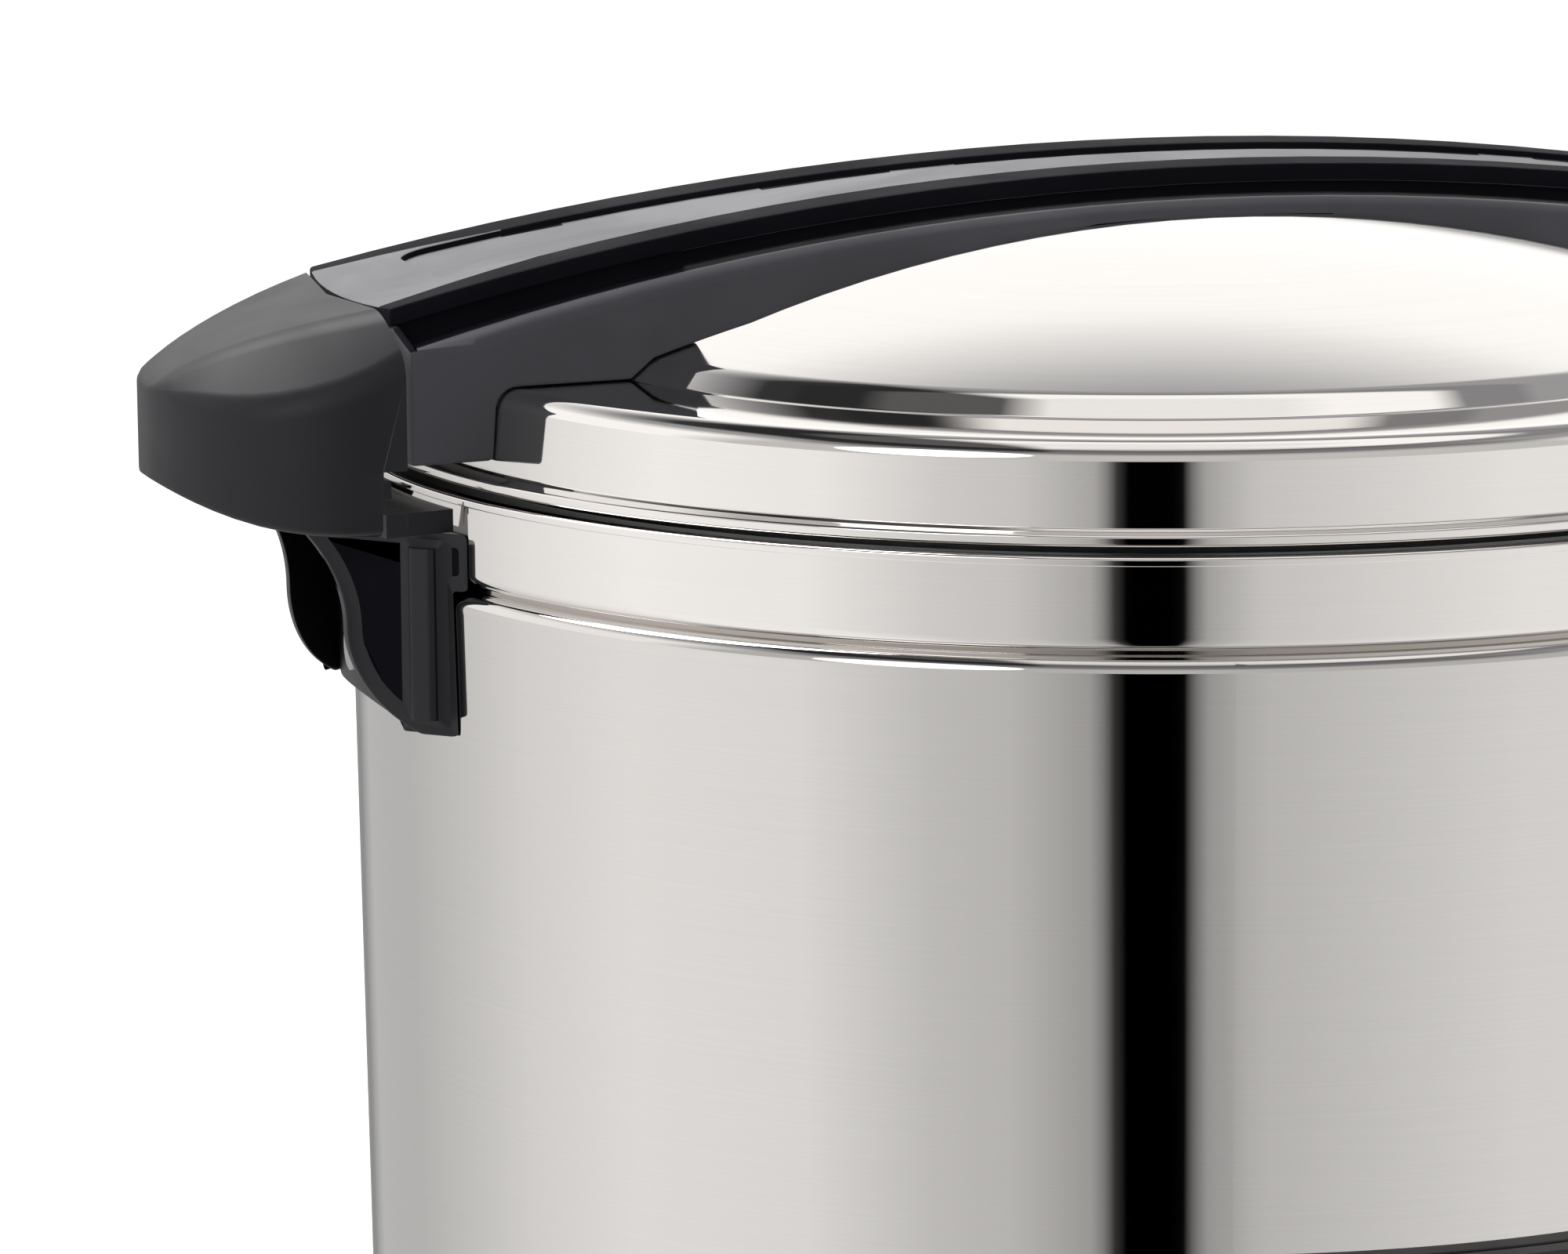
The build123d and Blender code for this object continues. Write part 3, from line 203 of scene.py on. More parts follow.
class EffectGroups:
    """Shader node groups that several finishes share."""

    line_detail: float = 3.0
    grain_detail: float = 2.0
    mark_detail: float = 4.0
    mark_warp: float = 0.6
    mark_range: Span = (0.35, 0.7)

    def __init__(self) -> None:
        """Builds each group once."""
        self.hairlines = self._group("hairlines", ("Length", "Width"), self._hairlines)
        self.grain = self._group("moulded_grain", ("Size",), self._grain)
        self.handling = self._group("handling_marks", ("Size",), self._handling)

    @staticmethod
    def _group(
        name: str,
        sizes: Sequence[str],
        build: Callable[[Graph, bpy.types.Node], Socket],
    ) -> bpy.types.NodeTree:
        """Makes a group with a place and some sizes as inputs, and one mask as output.

        Args:
            name: the group's name.
            sizes: names of its size inputs, in metres.
            build: adds the nodes between input and output, and gives the mask's socket.

        Returns:
            The group's tree.
        """
        tree = bpy.data.node_groups.new(name, "ShaderNodeTree")
        tree.interface.new_socket("Place", in_out="INPUT", socket_type="NodeSocketVector")
        for size in sizes:
            tree.interface.new_socket(size, in_out="INPUT", socket_type="NodeSocketFloat")
        tree.interface.new_socket("Mask", in_out="OUTPUT", socket_type="NodeSocketFloat")
        graph = Graph(tree)
        entry = graph.add("NodeGroupInput")
        mask = build(graph, entry)
        graph.add("NodeGroupOutput", {"Mask": mask})
        return tree

    def _hairlines(self, graph: Graph, entry: bpy.types.Node) -> Socket:
        """Fine lines that run level round a turned piece.

        Args:
            graph: the group's graph.
            entry: the node with the group's inputs.

        Returns:
            The mask's socket.
        """
        along = graph.math("DIVIDE", 1.0, entry.outputs["Length"])
        across = graph.math("DIVIDE", 1.0, entry.outputs["Width"])
        scale = graph.add("ShaderNodeCombineXYZ", {"X": along, "Y": along, "Z": across})
        place = graph.add(
            "ShaderNodeVectorMath",
            {0: entry.outputs["Place"], 1: scale.outputs[0]},
            operation="MULTIPLY",
        )
        noise = {"Vector": place.outputs[0], "Scale": 1.0, "Detail": self.line_detail}
        return graph.add("ShaderNodeTexNoise", noise).outputs["Fac"]

    def _grain(self, graph: Graph, entry: bpy.types.Node) -> Socket:
        """Even spark-eroded grain of a plastic mould.

        Args:
            graph: the group's graph.
            entry: the node with the group's inputs.

        Returns:
            The mask's socket.
        """
        place = {"Vector": entry.outputs["Place"], "Scale": graph.math("DIVIDE", 1.0, entry.outputs["Size"])}
        cells = graph.add("ShaderNodeTexVoronoi", place, feature="SMOOTH_F1")
        noise = graph.add("ShaderNodeTexNoise", {**place, "Detail": self.grain_detail})
        return graph.math("MULTIPLY", cells.outputs["Distance"], noise.outputs["Fac"])

    def _handling(self, graph: Graph, entry: bpy.types.Node) -> Socket:
        """Soft blotches where hands and cloths have been.

        Args:
            graph: the group's graph.
            entry: the node with the group's inputs.

        Returns:
            The mask's socket.
        """
        place = {"Vector": entry.outputs["Place"], "Scale": graph.math("DIVIDE", 1.0, entry.outputs["Size"])}
        soft = {"Detail": self.mark_detail, "Distortion": self.mark_warp}
        noise = graph.add("ShaderNodeTexNoise", {**place, **soft})
        return graph.spread(noise.outputs["Fac"], self.mark_range)


effects = EffectGroups()


@dataclass(frozen=True)
class Finish:
    """What every finish has: a name, a colour and how rough it is."""

    name: str
    colour: Colour
    roughness: float

    def material(self) -> Material:
        """Builds the material, which each kind of finish does in its own way."""
        raise NotImplementedError

    def start(self) -> tuple[Material, Graph, Socket]:
        """Starts an empty material.

        Returns:
            The material, its graph and the socket of the object's own coordinates.
        """
        material = bpy.data.materials.new(self.name)
        material.use_nodes = True
        graph = Graph(material.node_tree)
        place = graph.add("ShaderNodeTexCoord").outputs["Object"]
        return material, graph, place

    def tinted(self, graph: Graph, mask: Socket, change: float) -> Socket:
        """Varies the finish's colour a little with a mask.

        Args:
            graph: the material's graph.
            mask: a socket from 0 to 1.
            change: how much brighter the colour is where the mask is 1, as a share.

        Returns:
            The socket with the colour.
        """
        plain, full = 0.25, 0.75
        lighter = tuple(min(1.0, channel * (1 + change)) for channel in self.colour)
        return graph.ramp(mask, [(plain, self.colour), (full, lighter)])

    def effect(self, graph: Graph, tree: bpy.types.NodeTree, **inputs: object) -> Socket:
        """Places a shared effect with values or sockets as its inputs, and gives its mask's socket."""
        return graph.add("ShaderNodeGroup", inputs, node_tree=tree).outputs["Mask"]

    def close(self, graph: Graph, relief: tuple[Socket, float, float], inputs: dict[str, object]) -> None:
        """Adds the surface shader, its bump and the output.

        Args:
            graph: the material's graph.
            relief: the bump's height, strength and depth.
            inputs: values or sockets for the shader.
        """
        height, strength, depth = relief
        bump = graph.add("ShaderNodeBump", {"Height": height, "Strength": strength, "Distance": depth})
        shader = graph.add("ShaderNodeBsdfPrincipled", {**inputs, "Normal": bump.outputs["Normal"]})
        graph.add("ShaderNodeOutputMaterial", {"Surface": shader.outputs["BSDF"]})


@dataclass(frozen=True)
class SteelFinish(Finish):
    """Polished or satin sheet steel with level hairlines."""

    line_width: float = 0.35 * MM
    line_length: float = 60 * MM
    line_depth: float = 0.0015 * MM
    line_strength: float = 0.5
    mark_size: float = 45 * MM
    tint: float = 0.03
    spread: float = 0.05

    def material(self) -> Material:
        """Builds the material.

        Returns:
            The material.
        """
        material, graph, place = self.start()
        size = {"Length": self.line_length, "Width": self.line_width}
        lines = self.effect(graph, effects.hairlines, Place=place, **size)
        marks = self.effect(graph, effects.handling, Place=place, Size=self.mark_size)
        inputs = {
            "Base Color": self.tinted(graph, lines, self.tint),
            "Metallic": 1.0,
            "Roughness": self.rough(graph, place, graph.math("MULTIPLY", lines, marks)),
        }
        self.close(graph, (lines, self.line_strength, self.line_depth), inputs)
        return material

    def rough(self, graph: Graph, place: Socket, mask: Socket) -> Socket:
        """Gives the socket of the roughness, a little more where the surface has been handled."""
        return graph.spread(mask, target=(self.roughness, self.roughness + self.spread))


@dataclass(frozen=True)
class DomedSteelFinish(SteelFinish):
    """Polished steel with a satin dome in the middle."""

    dome_radius: float = 104 * MM
    dome_roughness: float = 0.12
    blend: float = 1.2 * MM

    def rough(self, graph: Graph, place: Socket, mask: Socket) -> Socket:
        """Makes the steel satin inside the dome's edge and polished outside it.

        Args:
            graph: the material's graph.
            place: the object's own coordinates.
            mask: where the surface has been handled.

        Returns:
            The socket with the roughness.
        """
        polished = super().rough(graph, place, mask)
        flat = graph.add("ShaderNodeVectorMath", {0: place, 1: (1, 1, 0)}, operation="MULTIPLY")
        radius = graph.add("ShaderNodeVectorMath", {0: flat.outputs[0]}, operation="LENGTH")
        edge = (self.dome_radius - self.blend, self.dome_radius)
        return graph.spread(radius.outputs["Value"], edge, (self.dome_roughness, polished))


@dataclass(frozen=True)
class PlasticFinish(Finish):
    """Moulded plastic with a spark-eroded grain."""

    grain: float = 0.45 * MM
    depth: float = 0.02 * MM
    strength: float = 0.6
    mark_size: float = 30 * MM
    spread: float = 0.1
    mottle: float = 0.18
    specular: float = 0.35

    def material(self) -> Material:
        """Builds the material.

        Returns:
            The material.
        """
        material, graph, place = self.start()
        grain = self.effect(graph, effects.grain, Place=place, Size=self.grain)
        marks = self.effect(graph, effects.handling, Place=place, Size=self.mark_size)
        inputs = {
            "Base Color": self.tinted(graph, marks, self.mottle),
            "Roughness": graph.spread(marks, target=(self.roughness + self.spread, self.roughness)),
            "Specular IOR Level": self.specular,
        }
        self.close(graph, (grain, self.strength, self.depth), inputs)
        return material


@dataclass(frozen=True)
class RubberFinish(PlasticFinish):
    """Silicone and rubber: light spreads a little way into them."""

    scatter: float = 0.0
    scatter_depth: float = 2 * MM

    def material(self) -> Material:
        """Builds the material.

        Returns:
            The material.
        """
        material = super().material()
        shader = next(node for node in material.node_tree.nodes if node.type == "BSDF_PRINCIPLED")
        shader.inputs["Subsurface Weight"].default_value = self.scatter
        shader.inputs["Subsurface Radius"].default_value = (self.scatter_depth,) * 3
        return material


@dataclass(frozen=True)
class CastFinish(Finish):
    """Cast or coated aluminium with a fine sprayed texture."""

    metallic: float = 1.0
    grain: float = 0.7 * MM
    depth: float = 0.03 * MM
    strength: float = 0.5
    mark_size: float = 25 * MM
    tint: float = 0.25
    spread: float = 0.08

    def material(self) -> Material:
        """Builds the material.

        Returns:
            The material.
        """
        material, graph, place = self.start()
        grain = self.effect(graph, effects.grain, Place=place, Size=self.grain)
        marks = self.effect(graph, effects.handling, Place=place, Size=self.mark_size)
        inputs = {
            "Base Color": self.tinted(graph, grain, self.tint),
            "Metallic": self.metallic,
            "Roughness": graph.spread(marks, target=(self.roughness, self.roughness + self.spread)),
        }
        self.close(graph, (grain, self.strength, self.depth), inputs)
        return material


FINISHES: dict[Slot, Finish] = {
    Slot.HOUSING_STEEL: SteelFinish("satin_housing_steel", (0.62, 0.60, 0.58), 0.03, spread=0.015),
    Slot.LID_STEEL: DomedSteelFinish("polished_lid_steel", (0.74, 0.715, 0.69), 0.035, spread=0.02),
    Slot.INNER_STEEL: SteelFinish("plain_inner_steel", (0.60, 0.60, 0.59), 0.2),
    Slot.POT_ALUMINIUM: CastFinish("coated_pot", (0.07, 0.07, 0.075), 0.38, metallic=0.0),
    Slot.SHELL_METAL: SteelFinish("drawn_shell_steel", (0.52, 0.52, 0.52), 0.28),
    Slot.CAST_ALUMINIUM: CastFinish("cast_heater_aluminium", (0.55, 0.55, 0.56), 0.35),
    Slot.BRACKET_STEEL: SteelFinish("plated_bracket_steel", (0.55, 0.55, 0.54), 0.3),
    Slot.SCREW_STEEL: SteelFinish("plated_screw_steel", (0.42, 0.42, 0.43), 0.3),
    Slot.HANDLE_PLASTIC: PlasticFinish("charcoal_grip_plastic", (0.007, 0.007, 0.010), 0.40, specular=0.32),
    Slot.COVER_PLASTIC: PlasticFinish("grey_cover_plastic", (0.125, 0.125, 0.138), 0.34),
    Slot.BLACK_PLASTIC: PlasticFinish("black_panel_plastic", (0.020, 0.020, 0.023), 0.4),
    Slot.BUTTON_PLASTIC: PlasticFinish("button_grey_plastic", (0.20, 0.20, 0.21), 0.42),
    Slot.DISPLAY_GLASS: PlasticFinish("smoked_window", (0.012, 0.014, 0.018), 0.06, depth=0.0005 * MM),
    Slot.DISPLAY_DARK: PlasticFinish("display_block", (0.02, 0.02, 0.02), 0.25),
    Slot.BOARD_GREEN: PlasticFinish("board_green", (0.02, 0.12, 0.05), 0.35, depth=0.005 * MM),
    Slot.SILICONE: RubberFinish("clear_silicone", (0.62, 0.62, 0.58), 0.45, scatter=0.3),
    Slot.FOOT_RUBBER: RubberFinish("black_foot_rubber", (0.018, 0.018, 0.018), 0.6),
}
materials: dict[Slot, Material] = {slot: finish.material() for slot, finish in FINISHES.items()}
# Painted light: the grips' charcoal plastic made lighter for the arch, standing in for the light that falls
# on the arch's front.
arch_lit_charcoal = PlasticFinish("lit_charcoal_arch_plastic", (0.055, 0.056, 0.066), 0.40).material()
# Painted shade: a near-black plastic with almost no gloss, put where shade falls: the groove under the
# arch's cover, the cover's sides and edges, and the brackets' sunk panels.
shade_black = PlasticFinish("shaded_groove_black", (0.007, 0.007, 0.010), 0.5, specular=0.02).material()
segment_grey = PlasticFinish("display_segment_grey", (0.30, 0.36, 0.36), 0.3, depth=0.002 * MM).material()


def mesh_object(name: str, bm: Mesh, *finishes: Material) -> bpy.types.Object:
    """Turns a mesh in the making into an object of the scene.

    Args:
        name: the object's name.
        bm: its mesh, which is freed.
        finishes: its materials, in the order of the faces' indices.

    Returns:
        The object.
    """
    mesh = bpy.data.meshes.new(name)
    bm.to_mesh(mesh)
    bm.free()
    for finish in finishes:
        mesh.materials.append(finish)
    thing = bpy.data.objects.new(name, mesh)
    bpy.context.scene.collection.objects.link(thing)
    return thing


def make_piece(
    name: str,
    bm: Mesh,
    slot: Slot,
    body: Body,
    *nodes: str,
    first: Material | None = None,
    second: Material | None = None,
    even: bool = False,
) -> bpy.types.Object:
    """Turns a mesh in the making into a piece of the cooker.

    Args:
        name: the piece's name.
        bm: its mesh, which is freed.
        slot: the record's slot that it is finished in.
        body: the body that it rides on.
        nodes: frame nodes that it stands for.
        first: its material, where it isn't the slot's own.
        second: material of its faces of index 1.
        even: whether its broad faces shade flat beside their rounded edges.

    Returns:
        The piece.
    """
    for face in bm.faces:
        face.smooth = True
    for edge in bm.edges:
        edge.smooth = edge.is_manifold and edge.calc_face_angle(0.0) <= SHARP_ANGLE
    finishes = [first or materials[slot]]
    if second:
        finishes.append(second)
    piece = mesh_object(name, bm, *finishes)
    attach(piece, body.value)
    if nodes:
        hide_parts(*nodes)
    if even:
        normals = piece.modifiers.new("broad_faces", "WEIGHTED_NORMAL")
        normals.keep_sharp = True
    log.info("%s: %d faces on %s", name, len(piece.data.polygons), body.value)
    return piece


def bevel(
    bm: Mesh,
    geom: Sequence[Edge | Vert],
    width: float,
    segments: int,
    affect: str = "EDGES",
) -> list[Face]:
    """Rounds some edges or corners of a mesh.

    Args:
        bm: the mesh.
        geom: the edges or corners.
        width: how far the rounding reaches from them.
        segments: steps of the rounding.
        affect: which of the two they are, EDGES or VERTICES.

    Returns:
        The faces of the rounding.
    """
    rounded = bmesh.ops.bevel(
        bm,
        geom=geom,
        offset=width,
        affect=affect,
        segments=segments,
        profile=0.5,
        clamp_overlap=False,
        material=-1,
    )
    return rounded["faces"]


def bisect(bm: Mesh, faces: list[Face], point: Vector, normal: Vector) -> None:
    """Cuts some faces of a mesh along the plane through a point and keeps both sides."""
    edges = list(dict.fromkeys(edge for face in faces for edge in face.edges))
    bmesh.ops.bisect_plane(bm, geom=faces + edges, plane_co=point, plane_no=normal, dist=TINY)


def round_corner(bm: Mesh, vert: Vert, rounding: float, guards: bool = True) -> None:
    """Rounds one corner of a wire.

    Args:
        bm: the mesh of the wire.
        vert: the corner.
        rounding: its radius, less where its runs are too short for that.
        guards: whether a point is kept just outside each end of the rounding, so that the runs shade flat.
    """
    longest_share = 0.45
    guard_share = 1.15
    runs = list(vert.link_edges)
    ways = [(run.other_vert(vert).co - vert.co).normalized() for run in runs]
    turn = math.pi - ways[0].angle(ways[1])
    shortest = min(run.calc_length() for run in runs)
    offset = min(rounding * math.tan(turn / 2), longest_share * shortest)
    if guards:
        for run in runs:
            bmesh.utils.edge_split(run, vert, guard_share * offset / run.calc_length())
    bevel(bm, [vert], offset, ROUND_STEPS, affect="VERTICES")


def wire(bm: Mesh, places: Sequence[Vector], closed: bool) -> list[Vert]:
    """Adds points and joins each to the next.

    Args:
        bm: the mesh to add to.
        places: where the points are, in order.
        closed: whether the last is joined to the first.

    Returns:
        The points.
    """
    verts = [bm.verts.new(place) for place in places]
    pairs = list(zip(verts, verts[1:]))
    if closed:
        pairs.append((verts[-1], verts[0]))
    for pair in pairs:
        bm.edges.new(pair)
    return verts


def spin_round(bm: Mesh) -> None:
    """Spins all of a mesh once round the cooker's axis.

    Args:
        bm: the mesh, a profile of points and edges.
    """
    bmesh.ops.spin(
        bm,
        geom=bm.verts[:] + bm.edges[:],
        axis=(0, 0, 1),
        cent=(0, 0, 0),
        angle=math.tau,
        steps=SPIN_STEPS,
        use_merge=True,
    )


def turned(corners: Sequence[Corner], closed: bool = True) -> Mesh:
    """Spins a profile round the cooker's axis.

    Args:
        corners: radius, height and rounding of each corner of the profile, in order.
        closed: whether the last corner is joined to the first.

    Returns:
        The spun mesh, with its faces pointing outwards.
    """
    bm = bmesh.new()
    verts = wire(bm, [Vector((radius, 0.0, height)) for radius, height, _ in corners], closed)
    for vert, (_, _, rounding) in zip(verts, corners):
        if rounding:
            round_corner(bm, vert, rounding)
    spin_round(bm)
    bmesh.ops.remove_doubles(bm, verts=bm.verts, dist=TINY)
    bmesh.ops.recalc_face_normals(bm, faces=bm.faces)
    return bm


def copied(node: str) -> Mesh:
    """Copies a frame node's mesh, merged and with its flat faces whole.

    Args:
        node: the frame node.

    Returns:
        The copy.
    """
    bm = bmesh.new()
    bm.from_mesh(frame["nodes"][node].data)
    bmesh.ops.remove_doubles(bm, verts=bm.verts, dist=TINY)
    bmesh.ops.dissolve_limit(bm, angle_limit=FLAT_ANGLE, verts=bm.verts, edges=bm.edges)
    bm.normal_update()
    return bm


def soften(bm: Mesh, width: float) -> None:
    """Rounds the sharp edges of a mesh to a width."""
    sharp = [edge for edge in bm.edges if edge.is_manifold and edge.calc_face_angle(0.0) > SHARP_ANGLE]
    bevel(bm, sharp, width, SOFT_STEPS)


def sink(bm: Mesh, faces: list[Face], border: float, depth: float, index: int = 0) -> None:
    """Sinks some faces inside a border.

    Args:
        bm: the mesh.
        faces: the faces.
        border: width of the border that stays.
        depth: how deep they are sunk.
        index: material index of the sunk faces.
    """
    bmesh.ops.inset_region(
        bm,
        faces=faces,
        thickness=border,
        depth=-depth,
        use_boundary=True,
        use_even_offset=True,
    )
    for face in faces:
        face.material_index = index
    bm.normal_update()


@dataclass
class Housing:
    """Steel sleeve of the body and the collar above its shoulder."""

    sheet: float = 1.0 * MM
    shoulder_round: float = 3.0 * MM
    lip_round: float = 0.65 * MM
    lip_height: float = 1.4 * MM
    lip_lift: float = 0.8 * MM
    collar_round: float = 2.4 * MM
    window_inset: float = 6.0 * MM
    inlet_inset: float = 3.5 * MM
    foot_taper: float = 2.6 * MM
    shoulder_width: float = 8.0 * MM
    lip_proud: float = 0.6 * MM
    lip_inner: float = 136.8 * MM
    hem: float = 1.8 * MM
    shelf_radius: float = 131.8 * MM
    shelf_drop: float = 1.5 * MM

    def build(self) -> None:
        """Builds the sleeve and the collar."""
        self.build_sleeve()
        self.build_collar()

    def build_sleeve(self) -> None:
        """Spins the sleeve and cuts the openings for the panel and the inlet."""
        low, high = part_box("outer_housing")
        corners = [
            (-low.x - self.foot_taper, low.z, 0.0),
            (high.x, high.z, self.shoulder_round),
            (high.x - self.shoulder_width, high.z, 0.0),
        ]
        bm = turned(corners, closed=False)
        windows = (
            (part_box("control_panel"), self.window_inset, -1),
            (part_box("power_inlet"), self.inlet_inset, 1),
        )
        for (start, end), inset, side in windows:
            border = Vector((inset, 0.0, inset))
            cut_window(bm, start + border, end - border, side)
        sleeve = make_piece("housing_sleeve", bm, Slot.HOUSING_STEEL, Body.BASE, "outer_housing")
        solidify = sleeve.modifiers.new("sheet", "SOLIDIFY")
        solidify.thickness = self.sheet
        solidify.offset = -1.0

    def build_collar(self) -> None:
        """Spins the collar with its rolled lip."""
        low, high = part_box("top_collar")
        face = high.x - self.lip_proud
        inside = face - self.sheet
        top = high.z + self.lip_lift
        shelf_top = high.z - self.shelf_drop
        shelf_under = shelf_top - self.sheet
        corners = [
            (face - self.hem, low.z, 0.0),
            (face, low.z + self.hem, self.collar_round),
            (face, top - self.lip_height, 0.0),
            (high.x, top - self.lip_height, self.lip_round),
            (high.x, top, self.lip_round),
            (self.lip_inner, top, 0.0),
            (self.lip_inner, shelf_top, 0.0),
            (self.shelf_radius, shelf_top, 0.0),
            (self.shelf_radius, shelf_under, 0.0),
            (inside, shelf_under, 0.0),
            (inside, low.z + self.hem, 0.0),
            (face - self.hem - self.sheet, low.z, 0.0),
        ]
        make_piece("collar_band", turned(corners), Slot.LID_STEEL, Body.BASE, "top_collar")


def cut_window(bm: Mesh, low: Vector, high: Vector, side: int) -> None:
    """Cuts a rectangular opening through the front or back of a spun sheet.

    Args:
        bm: the sheet's mesh.
        low: lowest corner of the opening, of which x and z count.
        high: its highest corner.
        side: -1 for the front and 1 for the back.
    """
    reach = 10 * MM
    across = Vector((1, 0, 0))
    upright = Vector((0, 0, 1))
    for point, normal in ((low, across), (high, across), (low, upright), (high, upright)):
        near = []
        for face in bm.faces:
            middle = face.calc_center_median()
            if side * middle.y > 0 and abs(middle.x) < high.x + reach:
                near.append(face)
        bisect(bm, near, point, normal)
    inside = []
    for face in bm.faces:
        middle = face.calc_center_median()
        if side * middle.y > 0 and low.x < middle.x < high.x and low.z < middle.z < high.z:
            inside.append(face)
    bmesh.ops.delete(bm, geom=inside, context="FACES")


@dataclass
class Lid:
    """Steel cover of the lid: rolled flange, upright wall, flat ring and dome."""

    sheet: float = 1.0 * MM
    flange_lift: float = 2.0 * MM
    flange_round: float = 0.9 * MM
    wall_foot: float = 132.0 * MM
    wall_lean: float = 1.2 * MM
    foot_round: float = 0.4 * MM
    ring_height: float = 16.2 * MM
    ring_round: float = 3.5 * MM
    dome_radius: float = 104.0 * MM
    dome_edge: float = 19.5 * MM
    dome_top: float = 35.5 * MM
    valley: float = 4.0 * MM
    edge_round: float = 1.2 * MM
    crest_round: float = 6.0 * MM
    seam: float = 245.0 * MM
    dome_steps: int = 40

    def dome(self, drop: float) -> list[Corner]:
        """Corners of the dome's arc from its edge to its middle.

        Args:
            drop: how far below the outer face the arc lies.

        Returns:
            The corners, without the edge itself.
        """
        rise = self.dome_top - self.dome_edge
        sphere = (self.dome_radius**2 + rise**2) / (2 * rise)
        arc = []
        for step in range(1, self.dome_steps + 1):
            radius = self.dome_radius * (1 - step / self.dome_steps)
            height = self.seam + self.dome_top - sphere + math.sqrt(sphere**2 - radius**2)
            arc.append((radius, height - drop, 0.0))
        return arc

    def build(self) -> None:
        """Spins the cover."""
        low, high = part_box("lid_shell")
        ring = self.seam + self.ring_height
        edge = self.seam + self.dome_edge
        shoulder = self.wall_foot - self.wall_lean
        flange_top = low.z + self.flange_lift
        inner = self.wall_foot - self.sheet
        ring_end = self.dome_radius + self.valley
        under = ring - self.sheet
        corners = [
            (inner, low.z, 0.0),
            (high.x, low.z, self.flange_round),
            (high.x, flange_top, self.flange_round),
            (self.wall_foot, flange_top, self.foot_round),
            (shoulder, ring, self.ring_round),
            (ring_end, ring, self.edge_round),
            (self.dome_radius, edge, self.crest_round),
            *self.dome(0.0),
            *reversed(self.dome(self.sheet)),
            (self.dome_radius, edge - self.sheet, 0.0),
            (ring_end, under, 0.0),
            (shoulder - self.sheet, under, self.ring_round - self.sheet),
        ]
        make_piece("lid_cover", turned(corners), Slot.LID_STEEL, Body.LID, "lid_shell")


def cut_across(bm: Mesh, x: float, kept: int) -> None:
    """Cuts a closed mesh across its length and closes the cut.

    Args:
        bm: the mesh.
        x: where it is cut.
        kept: 1 to keep what lies beyond x, -1 to keep what lies before it.
    """
    bmesh.ops.bisect_plane(
        bm,
        geom=bm.verts[:] + bm.edges[:] + bm.faces[:],
        dist=TINY,
        plane_co=(x, 0, 0),
        plane_no=(kept, 0, 0),
        clear_inner=True,
    )
    rim = [edge for edge in bm.edges if edge.is_boundary]
    bmesh.ops.holes_fill(bm, edges=rim, sides=0)
    bm.normal_update()


